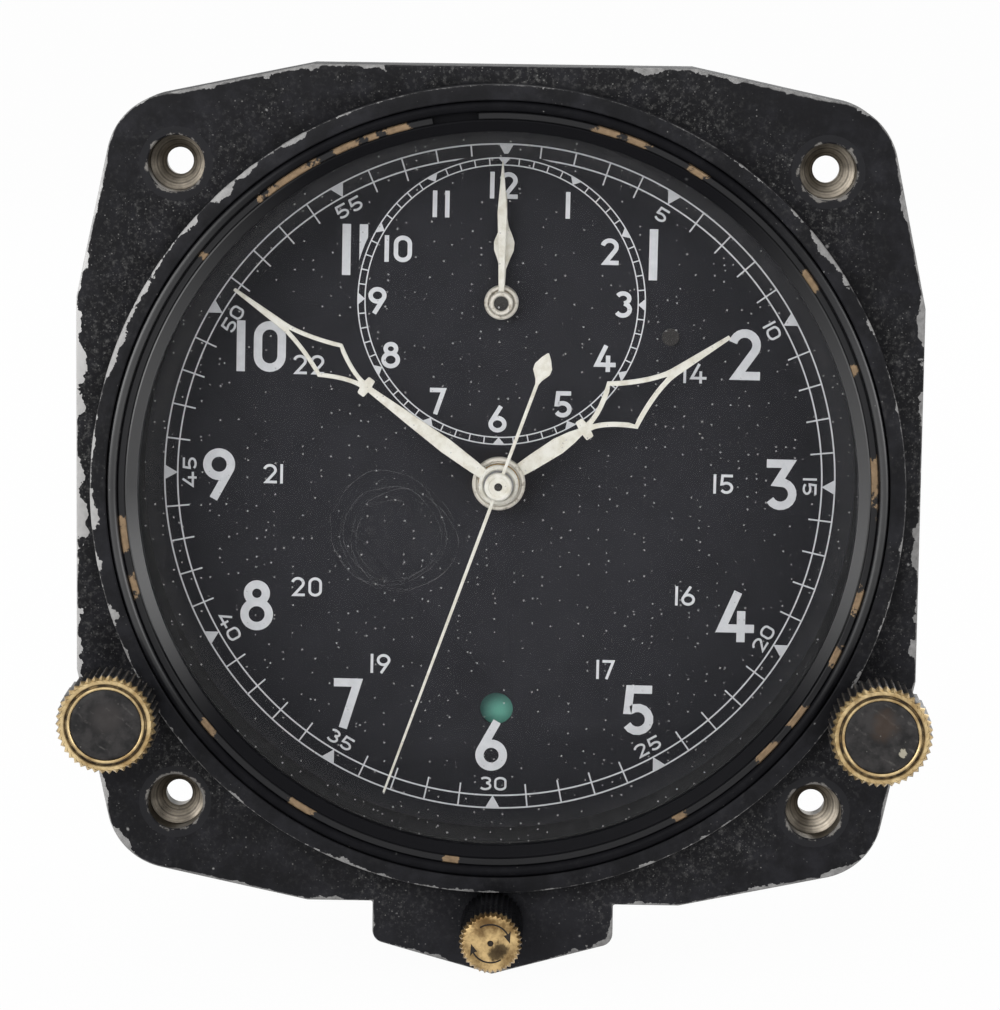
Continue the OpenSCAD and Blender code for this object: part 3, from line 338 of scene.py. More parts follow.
def near(f, wire, middle, reach):
    return f.rise(abs(wire - middle), reach, 0)


def flange_inward(f):
    across, up = abs(f.x), abs(f.y)
    steep, flat = SLANT
    sides = lower(SIDE - across, SIDE - up, SLANT_FAR - across * steep - up * flat,
                  SLANT_FAR - across * flat - up * steep, DIAGONAL_FAR - (across + up) * math.sqrt(0.5))
    away_x, away_y = across - HOLE, up - HOLE
    corner = EAR - (away_x * away_x + away_y * away_y).sum("SQRT")
    tab = lower(TAB_HALF - across, (TAB_TIP - across * TAB_SLOPE[0] + f.y) * TAB_SLOPE[1])
    return sides.sum("MAXIMUM", corner).sum("MAXIMUM", tab)


print("flange:", 2 * SIDE, "mm wide, with its holes", 2 * HOLE, "mm apart")

# %% [markdown]
# ## Case paint
#
# The case is cast aluminium under black paint. The finish works out how far each point is from the
# flange's edge and from the rim's edge, adds noise to that distance, and lets bare metal show where the
# sum is small. Dust and grit lie over the rest, most of all beside the rim. The bezel ring has cleaner
# paint, and a clear coat only on its left and right, which gives it a painted sheen there.

# %% Case paint
RIM, RIM_TOP, DRUM, BACK = 39.9, 9.55, 39.3, 29.9
RIM_WEAR = [(143, 42, 0.8), (-168, 26, 0.75), (39.5, 3, 1.2), (40, 30, 0.35), (-22, 20, 0.5), (-92, 62, 0.4)]
black = ink(14, 14, 17)
# A faded black; on the tab it also stands for a painted pool of light.
faded_and_lit_black = ink(32, 32, 36)


def case_paint(name, chips=1.0, gloss=0.15, dusty=1.0, painted_sheen=0.0):
    f = Finish(name)
    inward = flange_inward(f)
    flange_edge = inward + (6.9 - f.z).sum("MAXIMUM", 0) * 0.7
    r = f.radius()
    rear_edge = lower(inward + abs(f.z) * 0.8, abs(DRUM - r) + abs(f.z + BACK) * 0.8) + 0.1
    turn = f.y.sum("ARCTAN2", f.x) * math.degrees(1)
    rim_edge = abs(RIM - r) + (RIM_TOP - f.z).sum("MAXIMUM", 0) * 0.8
    grain = f.noise(1.1, 5, 0.66)
    patch = f.noise(0.09, 2)
    size = f.rise(f.noise(0.3, 4, 0.55), 0.4, 0.68)
    worn_rim = 0.2
    for middle, reach, amount in RIM_WEAR:
        worn_rim = near(f, turn, middle, reach) * amount + worn_rim
    rim_chip = f.rise(worn_rim * (size + 0.16) + (grain - 0.5) * 1.1 - rim_edge - 0.14, 0, 0.05)
    worn_side = near(f, f.x, -41.5, 4) * near(f, f.y, 0, 28) * 1.6 + near(f, f.y, -45, 10) * 0.4 \
        + near(f, f.y, 41.5, 8) * 0.4 + near(f, f.x, 41.5, 6) * 0.55 \
        + near(f, f.radius(34, -37), 0, 12) * 0.7 + near(f, f.radius(-38, -35), 0, 11) * 0.6 + 0.33
    knocks = worn_side * (size + 0.1) + (grain - 0.5) * 0.9
    side_chip = f.rise(knocks - lower(flange_edge, rear_edge) - 0.16, 0, 0.05)
    # A thin pale line along the flange and rim edges: partly bare metal, partly a painted highlight on the
    # softened edges.
    line = flange_edge.sum("MINIMUM", rim_edge + 0.08) + (grain - 0.5) * 0.4
    bare_and_highlit_edge = f.rise(line, 0.17, 0.05) * f.rise(patch, 0.3, 0.5) * 0.8
    spots = f.specks(0.22, 0.3, 0.05, 0.12) * f.rise(f.z, 6.6, 6.9)
    chip = rim_chip.sum("MAXIMUM", side_chip).sum("MAXIMUM", bare_and_highlit_edge).sum("MAXIMUM", spots) * chips
    band = f.rise(r, 48, 40.5) * f.rise(r, 39.6, 40.4) * (f.rise(f.noise(0.06, 2), 0.38, 0.6) * 0.7 + 0.3)
    outside = f.rise(r, 36.9, 37.6).sum("MAXIMUM", f.rise(f.z, -6, -10)) * dusty
    drift = band * 0.75 + f.rise(f.noise(0.12, 3), 0.45, 0.7) * 0.25 + 0.02
    settled = drift * outside * f.rise(f.z, 6.5, 6.9)
    dust = f.rise(f.noise(1.7, 5, 0.75), 0.48, 0.78) * settled
    grit = f.specks(1.5, settled * 0.55, 0.13).sum("MAXIMUM", f.specks(3.3, settled * 0.6, 0.2) * 0.55)
    # Random fading, plus paint made lighter towards the tab at the bottom: a painted pool of light there.
    fade_and_tab_light = (f.rise(f.noise(0.35, 5, 0.65), 0.38, 0.75) + f.rise(f.y, -39.5, -42) * 0.6) * outside
    plain = f.blend(fade_and_tab_light.sum("MINIMUM", 1), black, faded_and_lit_black)
    colour = f.blend((dust * 0.5 + grit * 0.5).sum("MINIMUM", 0.8), plain, ink(140, 139, 137))
    shade = f.blend(f.noise(1.3, 4, 0.7), ink(70, 69, 69), ink(178, 177, 176))
    polished = near(f, turn, 148, 26) * 0.4 + near(f, f.x, -41.5, 6) * 0.55
    shade = f.blend(polished, shade, ink(206, 205, 204))
    rough = 0.5 + f.noise(0.5, 3) * 0.15
    if painted_sheen:
        # Painted sheen: a clear coat laid only on the ring's left and right, to reflect more there.
        sheen_sides = near(f, turn, 8, 48) + near(f, turn, 165, 48) + near(f, turn, -170, 34)
        f.set(Coat_Weight=sheen_sides.sum("MINIMUM", 1) * painted_sheen, Coat_Roughness=0.3, Coat_IOR=1.72)
    return f.set(Base_Color=f.blend(chip.sum("MINIMUM", 1), colour, shade), Roughness=rough,
                 Metallic=chip * 0.3, Specular_IOR_Level=gloss,
                 Normal=f.bump(f.noise(2.2, 3) * outside - chip * 0.6, 0.3))


paint = case_paint("case paint")
ring_paint = case_paint("ring paint", chips=0.2, gloss=0.07, dusty=0.3, painted_sheen=0.9)
print("case paint ready")

# %% [markdown]
# ## The flange
#
# The flange is one flat casting: four straight sides, round ears about the mounting holes and a pointed
# tab below for the winding knob. Its outline is drawn as lines and arcs, filled, pulled up and drilled,
# and its edges are softened.

# %% The flange
FLANGE, BUSH, GUIDE = 7, 3.6, 2.55
reach = math.hypot(HOLE - SIDE, HOLE - SIDE_END)
lean = math.atan2(HOLE - SIDE_END, HOLE - SIDE) - math.asin(EAR / reach) - math.pi / 2
lean = math.degrees(math.atan2(math.sin(lean), math.cos(lean)))
quarter = [(SIDE, SIDE_END)] + bow(HOLE, HOLE, EAR, lean, 90 - lean, 24) + [(SIDE_END, SIDE)]
tab_half = [(TAB_HALF, -SIDE)] + bow(10.7, -44.55, 1.3, 0, -74.6, 8) + [(0, -TAB_TIP)]


def flipped(points, sx, sy):
    return [(x * sx, y * sy) for x, y in points]


outline = quarter + flipped(quarter, -1, 1)[::-1] + flipped(quarter, -1, -1) \
    + flipped(tab_half, -1, 1) + tab_half[-2::-1] + flipped(quarter, 1, -1)[::-1]
PUSHERS = {"left": (-37.61, -22.154), "right": (37.61, -22.154)}
STEM = (0, -43.2)
flange = sheet("flange", [outline], 0, FLANGE)
holes = [(sx * HOLE, sy * HOLE, BUSH) for sx in (-1, 1) for sy in (-1, 1)]
cut(flange, drill(0, 0, 39.2), *[drill(*spot, GUIDE) for spot in (*PUSHERS.values(), STEM)])
soften(flange, 0.22, 3)
cut(flange, *[drill(*hole) for hole in holes])
smooth(flange)
put(flange, "case", paint, "case_front", slot="case_paint")

# %% [markdown]
# ## Rim, drum and housings
#
# The raised rim, the seat for the glass and the drum behind the panel are one turned shape. Small
# housings behind the flange cover the pusher levers and the winding stem.

# %% Rim, drum and housings
ROUND = 288
rim = [(38.4, 7.8), (38.4, 9.5), (38.5, 9.6), (39.7, 9.6), (39.88, 9.52), (39.95, 9.35), (39.95, 3)]
shell = [(DRUM, 3), (DRUM, -27.2), (39, -27.5), (36.4, -27.5), (36.4, -1)]
glass_step = [(35.6, -1), (35.6, 5.3), (36.85, 5.3), (36.85, 7.8)]
body = lathe("case_drum", rim + shell + glass_step, steps=ROUND)
smooth(body)
put(body, "case", paint, slot="case_paint")
LEVER_HALF, NOSE_HALF = 3.2, 10.2


def housing(name, outline, low):
    piece = sheet(name, [outline], low, 0.5)
    soften(piece, 0.3)
    smooth(piece)
    put(piece, "case", paint, slot="case_paint")


for side, way in (("left", 210.5), ("right", -30.5)):
    turn = math.radians(way)
    c, s = math.cos(turn), math.sin(turn)
    ear = [(36.6, LEVER_HALF)] + bow(43.65, 0, LEVER_HALF, 90, -90, 24) + [(36.6, -LEVER_HALF)]
    ear = [(x * c - y * s, x * s + y * c) for x, y in ear]
    housing(side + "_housing", ear[::-1], -9)
nose = [(-NOSE_HALF, -37), (-NOSE_HALF, STEM[1]), (-4.9, STEM[1])] + bow(*STEM, 4.9, 180, 360, 32) \
    + [(NOSE_HALF, STEM[1]), (NOSE_HALF, -37)]
housing("stem_housing", nose, -27.5)

# %% [markdown]
# ## Mounting bushes
#
# A steel bush sits in each corner. A screw's head drops into its wide mouth, and rings left by the tap
# show inside.

# %% Mounting bushes
f = Finish("bush steel")
away_x, away_y = abs(f.x) - HOLE, abs(f.y) - HOLE
off = (away_x * away_x + away_y * away_y).sum("SQRT")
inside = f.rise(f.z, 6.86, 6.6)
edge = f.rise(abs(off - 2.86) + (f.noise(0.6, 4, 0.65) - 0.42) * 2, 0.26, 0.08)
face = f.blend(edge, f.blend(f.noise(0.35, 5), black, faded_and_lit_black), ink(122, 119, 115))
rings = abs((f.z * 7.5).sum("SINE"))
pit = f.blend(f.noise(0.7, 5, 0.65) * (rings * 0.55 + 0.45), ink(12, 11, 9), ink(214, 202, 184))
# The bore is darkened on its left and upper side: painted shade, as if lit from the left.
painted_shade_left = f.rise(away_x * f.x.sum("SIGN") - away_y * f.y.sum("SIGN") * 0.5, 1.6, -1.8)
pit = f.blend(painted_shade_left * 0.75, pit, ink(22, 19, 16))
bush_steel = f.set(Base_Color=f.blend(inside, face, pit), Roughness=0.36,
                   Metallic=inside * 0.8 + edge * 0.2, Specular_IOR_Level=0.2)
BORE, MOUTH = 1.475, 2.75
thread = []
for i in range(9):
    r, z = 2.7 - 1.2 * i / 8, 4.6 - 2.1 * i / 8
    thread += [(r, z), (r - 0.18, z - 0.1)]
for i, (x, y, r) in enumerate(holes):
    outside = [(BORE, 0), (r, 0), (r, FLANGE), (2.9, FLANGE), (2.77, 6.88), (MOUTH, 4.8)]
    bush = lathe("mounting_bush_%d" % (i + 1), outside + thread + [(BORE, 2)], (x, y), steps=72)
    smooth(bush)
    put(bush, "case", bush_steel, *(("mounting_bushes",) if i == 0 else ()), slot="steel")

# %% [markdown]
# ## Bezel ring and snap ring
#
# The bezel ring holds the glass. It has a round bead outside and a channel inside, and a split brass
# ring lies in the channel. That ring was painted with the rest, and the paint has flaked: each flake is
# marked on the mesh by its angle.

# %% Bezel ring and snap ring
bead = bow(37.825, 9.075, 0.525, 0, 180, 14)
channel = [(37.3, 8.65), (36.5, 8.65), (36.5, 9.2), (36.36, 9.25), (35.35, 8.7)]
bezel = lathe("bezel_bead", [(35.3, 7.8), (38.35, 7.8)] + bead + channel, steps=ROUND)
smooth(bezel)
put(bezel, "case", ring_paint, "bezel_ring", slot="case_paint")

FLAKES = [(123.8, 5), (114.7, 2.6), (110, 1.2), (105.7, 2.2), (74, 2.4), (69.3, 2.4), (58.9, 2), (35.3, 2.6),
          (2.7, 4.6), (-16.1, 2), (-24.7, 2), (-36.4, 2.6), (-43.3, 2.4), (-96.4, 1.6), (-121.2, 2.4),
          (-164.8, 2), (-172.7, 3), (141.4, 0.8), (20, 1), (-60, 1.4), (-140, 1.6)]
wire = [(36.55, 8.65), (36.55, 9.15), (36.66, 9.25), (37.14, 9.25), (37.25, 9.15), (37.25, 8.65)]
snap = lathe("snap_wire", wire, steps=706, angle=353, first=93.5)
bare = snap.data.attributes.new("bare", "FLOAT", "POINT")
for vertex in snap.data.vertices:
    turn = math.degrees(math.atan2(vertex.co.z, vertex.co.x))
    bare.data[vertex.index].value = max(1 - abs((turn - a + 180) % 360 - 180) / w for a, w in FLAKES)
smooth(snap)
f = Finish("snap brass")
flake = f.node("ShaderNodeAttribute", {"attribute_name": "bare"}, out="Fac")
flake = f.rise(flake + (f.noise(0.9, 5, 0.75) - 0.5) * 3.4, 0.16, 0.34)
brass_tone = f.blend(f.noise(1.8, 4), ink(80, 66, 50), ink(166, 140, 110))
snap_brass = f.set(Base_Color=f.blend(flake, black, brass_tone), Metallic=flake * 0.45, Roughness=0.45,
                   Specular_IOR_Level=0.3)
put(snap, "case", snap_brass, "snap_ring", slot="brass")

# %% [markdown]
# ## Glass
#
# Old glass shows itself by fine scratches and dust, and hardly at all by colour. It is left almost
# fully clear.

# %% Glass
f = Finish("glass")
sway = (f.noise(0.11, 2) - 0.5) * 2.4
LOOPS = [(-10.7, -4, 5.6, 0.2), (-9.6, -4.6, 5.7, 0.42), (-10.3, -4.4, 4.7, 0.3), (-9.9, -4.9, 4, 0.46),
         (-10.9, -4.2, 5.2, 0.5), (-9.2, -5, 5.1, 0.36)]
scratch = 0
for i, (x, y, r, gap) in enumerate(LOOPS):
    worn = f.rise(f.noise(0.17 + 0.013 * i, 2), gap, gap + 0.16)
    scratch = scratch + f.rise(abs(f.radius(x, y) + sway - r), 0.04, 0.01) * worn
haze = f.rise(f.radius(-10.2, -4.5), 6.4, 3.5) * f.rise(f.noise(1.4, 4), 0.45, 0.7)
rim_dust = f.rise(f.radius(), 31, 35.3)
speck = f.specks(0.45, 0.5, 0.06).sum("MAXIMUM", f.specks(1.1, 0.45 + rim_dust * 0.2, 0.13) * 0.7)
outer_face = f.rise(f.z, 6.7, 6.9)
film = (scratch * 0.1 + haze * 0.02 + speck * 0.5 + rim_dust * f.noise(1.2, 4) * 0.06) * outer_face + 0.004
clear = f.set(Base_Color=ink(205, 205, 205), Roughness=0.25, Alpha=film.sum("MINIMUM", 0.6))
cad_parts["glass"].data.materials.clear()
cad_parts["glass"].data.materials.append(clear)
print("glass finish ready, with", len(LOOPS), "looped scratches")

# %% [markdown]
# ## Dial
#
# The dial is a painted disc with holes for the hands' pipes and a round window for the flag. The small
# trip-time dial is a second printed layer over it, so that it covers the ends of the hour numbers
# beside it.

# %% Dial
f = Finish("dial black")
speck = f.specks(1.3, 0.2, 0.1)
cloud = f.blend(f.noise(0.25, 4), ink(33, 33, 37), ink(46, 46, 51))
dial_black = f.set(Base_Color=f.blend(speck * 0.4, cloud, ink(112, 111, 108)), Roughness=0.75,
                   Specular_IOR_Level=0.15)
DIAL = -1
WINDOW, TRIP, TRIP_PIPE = (0, -23.4), (0, 17.9), 1.35
dial = sheet("dial_plate", [bow(0, 0, 36.2, 0, 360 - 1.25, 287)], DIAL - 0.8, DIAL)
cut(dial, drill(*WINDOW, 1.65), drill(0, 0, 2.3), drill(*TRIP, TRIP_PIPE))
soften(dial, 0.1)
smooth(dial)
put(dial, "case", dial_black, "dial", slot="dial_paint")
trip_face = sheet("trip_face", [bow(*TRIP, 14.75, 0, 360 - 2, 179)], DIAL + 0.012, DIAL + 0.03)
cut(trip_face, drill(*TRIP, TRIP_PIPE))
put(trip_face, "case", dial_black, slot="dial_paint")

# %% [markdown]
# ## A pen of fixed width
#
# Dial numbers are drawn with a pen of one width. `ribbon` gives a centre line that width: at each point
# it sets two points square to the path, one on each side, and joins them in four-sided faces.

# %% A pen of fixed width


def ribbon(points, width, closed=False):
    half, sides = width / 2, []
    for i, (x, y) in enumerate(points):
        before = points[i - 1] if i or closed else None
        after = points[(i + 1) % len(points)] if i + 1 < len(points) or closed else None
        ways = [Vector(b) - Vector(a) for a, b in ((before, (x, y)), ((x, y), after)) if a and b]
        normals = [Vector((-w.y, w.x)).normalized() for w in ways]
        middle = sum(normals, Vector((0, 0))).normalized()
        stretch = half / max(middle.dot(normals[0]), 0.42)
        dx, dy = middle.x * stretch, middle.y * stretch
        sides.append(((x + dx, y + dy), (x - dx, y - dy)))
    pairs = list(zip(sides, sides[1:] + (sides[:1] if closed else [])))
    return [[a[1], b[1], b[0], a[0]] for a, b in pairs]


# %% [markdown]
# ## Figures
#
# Each figure is a few centre lines: straight runs and arcs in a box one unit high. Lines like these can
# follow the dial's own figures more closely than a ready font could. `figures` sets figures side by
# side about a point, and `clock` finds a point by its distance and its clockwise turn.

# %% Figures


def figure(d, s, flat):
    top, foot = 1 - s / 2, s / 2
    if d == "1":
        return s, [([(s / 2, 0), (s / 2, 1)], False)]
    if d == "4":
        return 0.76, [([(0.43, 1), (s * 0.75, 0.27), (0.76, 0.27)], False), ([(0.5, 0.62), (0.5, 0)], False)]
    if d == "7":
        return 0.58, [([(0, top), (0.58 - s * 0.7, top), (0.19, 0)], False)]
    w = 0.63
    r, mid = (w - s) / 2, w / 2
    ring = bow(mid, foot + r, r, 0, 350, 35)
    if d == "0":
        return w, [(bow(mid, top - r, r, 0, 180) + bow(mid, foot + r, r, 180, 360), True)]
    if d == "2":
        return w, [(bow(mid, top - r, r, 168, -35) + [(s * 1.1, foot), (w, foot)], False)]
    if d == "3" and flat:
        bar = [(0.03, top), (w - s * 0.95, top), (mid - 0.06, foot + 2 * r)]
        return w, [(bar + bow(mid, foot + r, r, 72, -150), False)]
    if d == "3":
        waist = 0.54
        return w, [(bow(mid, (top + waist) / 2, r * 0.9, 150, -80, 12, (top - waist) / 2 / (r * 0.9)), False),
                   (bow(mid, (foot + waist) / 2, r, 80, -150, 12, (waist - foot) / 2 / r), False)]
    if d == "5":
        bar = [(w - 0.04, top), (s * 0.95, top), (s * 0.72, 0.5)]
        return w, [(bar + bow(mid, foot + r, r, 128, -150), False)]
    if d == "6":
        root = (mid + r * math.cos(2.75), foot + r + r * math.sin(2.75))
        return w, [(ring, True), ([root, (0.42, 1)], False)]
    if d == "8":
        small = (1 - s * 1.5) / 4 - 0.012
        big = (1 - s) / 2 - small
        return 2 * big + s, [(bow(big + s / 2, top - small, small, 0, 350, 35), True),
                             (bow(big + s / 2, foot + big, big, 0, 350, 35), True)]
    six = figure("6", s, flat)[1]
    return w, [([(w - x, 1 - y) for x, y in line], loop) for line, loop in six]


def figures(marks, text, x, y, height, pen, turn=0, flat=False, gap=0.17, wide=1):
    s = pen / height
    drawn, across = [], 0
    for d in text:
        width, lines = figure(d, s, flat)
        stretch = 1 if d == "1" else wide
        for layer, (line, loop) in enumerate(lines):
            drawn.append((layer, [(px * stretch + across, py) for px, py in line], loop))
        across += width * stretch + gap
    across -= gap
    c, n = math.cos(math.radians(turn)) * height, math.sin(math.radians(turn)) * height
    for layer, line, loop in drawn:
        line = [(px - across / 2, py - 0.5) for px, py in line]
        marks[layer] += ribbon([(x + px * c - py * n, y + px * n + py * c) for px, py in line], pen, loop)


def clock(r, turn, x=0, y=0):
    a = math.radians(turn)
    return x + r * math.sin(a), y + r * math.cos(a)


# %% [markdown]
# ## The printed scales
#
# The outer scale is a track of two thin circles with a line for each minute and a triangle at each
# fifth. Hour numbers stand upright, with the afternoon hours small inside them, and the trip dial has a
# finer scale.

# %% The printed scales


def track(marks, outer, inner, x, y, pen, low_tick, tooth, skew=0, rest=()):
    for r in (outer, inner):
        marks[0] += ribbon([clock(r, 1.25 * i, x, y) for i in range(288)], pen, True)
    for m in range(60):
        turn = 6 * m + skew
        if m % 5 == 0:
            base = [clock(outer, turn + tooth, x, y), clock(outer, turn - tooth, x, y)]
            marks[1].append([clock(inner, turn, x, y)] + base)
        else:
            low = inner if m in rest else low_tick
            marks[1] += ribbon([clock(low, turn, x, y), clock(outer, turn, x, y)], pen)


def printed(name, marks, low):
    under = sheet(name, marks[0], low, low + 0.02)
    sheet(name + "_over", marks[1], low, low + 0.026)
    under.select_set(True)
    bpy.context.view_layer.objects.active = under
    bpy.ops.object.join()
    put(under, "case", dial_ink, slot="dial_paint")


f = Finish("dial ink")
fade = f.noise(1.2, 4)
dial_ink = f.set(Base_Color=f.blend(fade, ink(196, 198, 202), ink(230, 231, 234)), Roughness=0.7,
                 Specular_IOR_Level=0.2)
SKEW = 0.5
marks = [[], []]
track(marks, 33.6, 32.3, 0, 0, 0.15, 31.25, 1.25, SKEW, (58, 59, 1, 2))
for m in range(5, 60, 5):
    turn = 6 * m + SKEW
    upside_down = 180 if 20 <= m <= 40 else 0
    figures(marks, str(m), *clock(31.1, turn), 1.4, 0.22, upside_down - turn, gap=0.11, wide=1.55)
HOURS = {1: (15.05, 22.8), 2: (24.3, 12.95), 3: (28.2, -0.1), 4: (23.9, -13.6), 5: (14.27, -23.3),
         6: (-0.47, -27.22), 7: (-15, -23.05), 8: (-24.3, -13.15), 9: (-28.15, 0.2),
         10: (-23.95, 13.1), 11: (-14.65, 22.9)}
for h, spot in HOURS.items():
    figures(marks, str(h), *spot, 5.1, 0.84, -SKEW, flat=True)
AFTERNOON = {14: (19.41, 10.98), 15: (22.47, -0.12), 16: (18.85, -11.54), 17: (10.98, -19.18),
             19: (-11.76, -18.92), 20: (-19.29, -11.18), 21: (-22.73, 0.27), 22: (-19.21, 11.32)}
for h, spot in AFTERNOON.items():
    figures(marks, str(h), *spot, 1.95, 0.27, -SKEW, wide=1.15)
printed("dial_scale", marks, DIAL)

TRIP_HOURS = {12: (0.1, 29.5), 1: (6.48, 27.6), 2: (10.68, 23.05), 3: (12.1, 17.8), 4: (10.35, 12.35),
              5: (6.24, 7.7), 6: (-0.25, 6.1), 7: (-6.2, 7.85), 8: (-11, 12.4), 9: (-12.38, 17.88),
              10: (-10.33, 23.05), 11: (-6.12, 27.57)}
marks = [[], []]
track(marks, 14.33, 13.62, *TRIP, 0.12, 13.62, 2.4, SKEW)
for h, spot in TRIP_HOURS.items():
    figures(marks, str(h), *spot, 2.65, 0.44, -SKEW, gap=0.3 if h == 11 else 0.17, wide=1.12)
printed("trip_scale", marks, DIAL + 0.03)

# %% [markdown]
# ## Outlines for hands
#
# A hand is the same on both sides, so half of its outline is enough, given as (distance from the
# centre, half width). `lozenge` bends the two sides of an open frame, and `opening` moves that curve in
# by the frame's width. `hand` mirrors the half, turns it to its place on the dial, fills it and cuts
# the opening.

# %% Outlines for hands


def lozenge(low, corner, fork, waist, half, end, bend=1.5, n=10):
    rise = [(low + (corner - low) * i / n, waist + (half - waist) * (i / n) ** bend)
            for i in range(n + 1)]
    fall = [(corner + (fork - corner) * i / n, end + (half - end) * (1 - i / n) ** bend)
            for i in range(1, n + 1)]
    return rise + fall


def opening(frame_line, strip):
    inner = []
    for (u0, v0), (u, v), (u1, v1) in zip(frame_line, frame_line[1:], frame_line[2:]):
        slope = (v1 - v0) / (u1 - u0)
        inner.append((u, v - strip * math.hypot(1, slope)))
    return [p for p in inner if p[1] > 0.04]


def facing(points, turn, centre=(0, 0)):
    c, s = math.cos(math.radians(turn)), math.sin(math.radians(turn))
    return [(centre[0] + u * s + v * c, centre[1] + u * c - v * s) for u, v in points]


def both_sides(half):
    return half + [(u, -v) for u, v in half[::-1]]


def hand(name, half, turn, z, centre=(0, 0), hole=None, thick=0.25):
    piece = sheet(name, [facing(both_sides(half), turn, centre)[::-1]], z, z + thick)
    if hole:
        ends = [(hole[0][0] - 0.35, 0)] + hole + [(hole[-1][0] + 0.5, 0)]
        edge = facing(ends + [(u, -v) for u, v in hole[::-1]], turn, centre)[::-1]
        cut(piece, sheet("opening", [edge], z - 1, z + 1))
    soften(piece, 0.05, 1)
    smooth(piece)
    return piece


# %% [markdown]
# ## Hands
#
# Each hand is pressed from thin sheet and painted cream. The two long ones have a leaf, a cross collar,
# an open lozenge and a needle point. The seconds hand is a needle with a drop at its tail, and the trip
# hands are short and closed.

# %% Hands
f = Finish("hand cream")
stain = f.noise(0.9, 4)
cream = f.set(Base_Color=f.blend(f.rise(stain, 0.35, 0.75), ink(229, 227, 218), ink(206, 201, 186)),
              Roughness=0.6, Specular_IOR_Level=0.3)
f = Finish("aged nickel")
spot = f.rise(f.noise(1.6, 4, 0.7), 0.5, 0.74)
nickel = f.set(Base_Color=f.blend(spot, ink(214, 209, 198), ink(132, 122, 104)), Metallic=0.35,
               Roughness=0.42)
frame_line = lozenge(10.6, 14.6, 20.6, 0.45, 2.8, 0.45)
leaf = [(1.6, 0.6), (4, 0.76), (7, 0.84), (8.6, 0.62), (9.65, 0.36)]
collar = [(9.72, 1), (9.85, 1.06), (10.4, 1.06), (10.52, 1)]
hour = hand("hour_blade", leaf + collar + frame_line + [(27.2, 0.19)], 56.6, 1.7,
            hole=opening(frame_line, 0.48))
put(hour, "hour", cream, "hour_hand", slot="hand_paint")
frame_line = lozenge(16.85, 20.8, 26.6, 0.4, 2.05, 0.4)
leaf = [(1.2, 0.52), (3.5, 0.64), (6.5, 0.75), (11, 0.56), (15.9, 0.3)]
collar = [(15.97, 0.92), (16.1, 0.98), (16.6, 0.98), (16.75, 0.92)]
minute = hand("minute_blade", leaf + collar + frame_line + [(32.6, 0.16)], 306, 2.85,
              hole=opening(frame_line, 0.42))
put(minute, "minute", cream, "minute_hand", slot="hand_paint")
tail = [(-14.2, 0.06), (-13.6, 0.5), (-12.8, 0.9), (-12.2, 0.88), (-11.4, 0.34), (-10.9, 0.17)]
second = hand("second_blade", tail + [(0, 0.17), (33, 0.11)], 199.7, 4.1)
put(second, "second", cream, "second_hand", slot="hand_paint")
trip_minute = hand("trip_minute_blade", [(0.7, 0.28), (4.6, 0.34), (9.1, 0.48), (14.15, 0.05)], 0, 0.5, TRIP)
put(trip_minute, "trip_minute", cream, "trip_minute_hand", slot="hand_paint")
spade = [(4.3, 0.62), (5.2, 0.98), (6, 1.03), (6.8, 0.74), (7.6, 0.36)]
trip_hour = hand("trip_hour_blade", [(1.2, 0.26), (3.3, 0.3)] + spade + [(8.4, 0.2), (10.95, 0.06)],
                 2, -0.45, TRIP)
put(trip_hour, "trip_hour", cream, "trip_hour_hand", slot="hand_paint")

# %% [markdown]
# ## Bosses
#
# Each hand is riveted to a turned boss that grips its pipe, and the bosses step up one above another at
# the centre.

# %% Bosses


def boss(name, body, material, r, bore, low, high, centre=(0, 0)):
    floor = high - 0.08
    profile = [(bore, low), (r, low), (r, high - 0.12), (r - 0.12, high), (r - 0.35, high),
               (r - 0.45, floor), (bore + 0.06, floor), (bore, high - 0.14)]
    piece = lathe(name, profile, centre, steps=96)
    smooth(piece)
    put(piece, body, material, slot="hand_paint")


boss("hour_boss", "hour", nickel, 2.65, 2.05, 1.4, 2.3)
boss("minute_boss", "minute", cream, 2, 1.5, 2.55, 3.45)
boss("second_boss", "second", cream, 1.37, 0.4, 3.8, 4.75)
boss("trip_hour_boss", "trip_hour", nickel, 1.7, 1.2, -0.75, 0.15, TRIP)
boss("trip_minute_boss", "trip_minute", nickel, 1.2, 0.7, 0.2, 1.1, TRIP)

# %% [markdown]
# ## Flutes and worn brass
#
# Brass knobs were blackened when new and have been handled since. `press_flutes` pushes every second
# row of a turned knob's points inwards, which leaves even flutes without a cut. `knob_brass` wears the
# front edge bright, keeps the sides dark and can leave tarnish in a groove. `disc_black` is scuffed
# black lacquer.

# %% Flutes and worn brass


def press_flutes(piece, centre, teeth, r, depth):
    for vertex in piece.data.vertices:
        x, y = vertex.co.x / MM - centre[0], vertex.co.z / MM - centre[1]
        far = math.hypot(x, y)
        if far > r - 0.42 and round(math.atan2(y, x) * teeth / math.pi) % 2:
            vertex.co.x -= x / far * depth * MM
            vertex.co.z -= y / far * depth * MM


def knob_brass(name, centre, r, front, groove, dark, bright):
    f = Finish(name)
    out = f.radius(*centre)
    wear = f.rise(f.noise(0.55, 5, 0.6), 0.3, 0.7)
    side = f.rise(f.z + (wear - 0.5) * 0.7, front - 0.42, front - 0.78)
    tarnish = near(f, out, r - 0.98, 0.32) * (f.rise(f.noise(0.9, 4), 0.3, 0.6) * 0.6 + 0.4) * groove
    tone = f.blend(wear, dark, bright)
    stain = f.rise(f.noise(0.8, 5), 0.5, 0.72)
    tone = f.blend(stain * 0.5, tone, ink(98, 76, 50))
    tone = f.blend(tarnish, tone, ink(46, 34, 24))
    return f, out, side, tone, tarnish


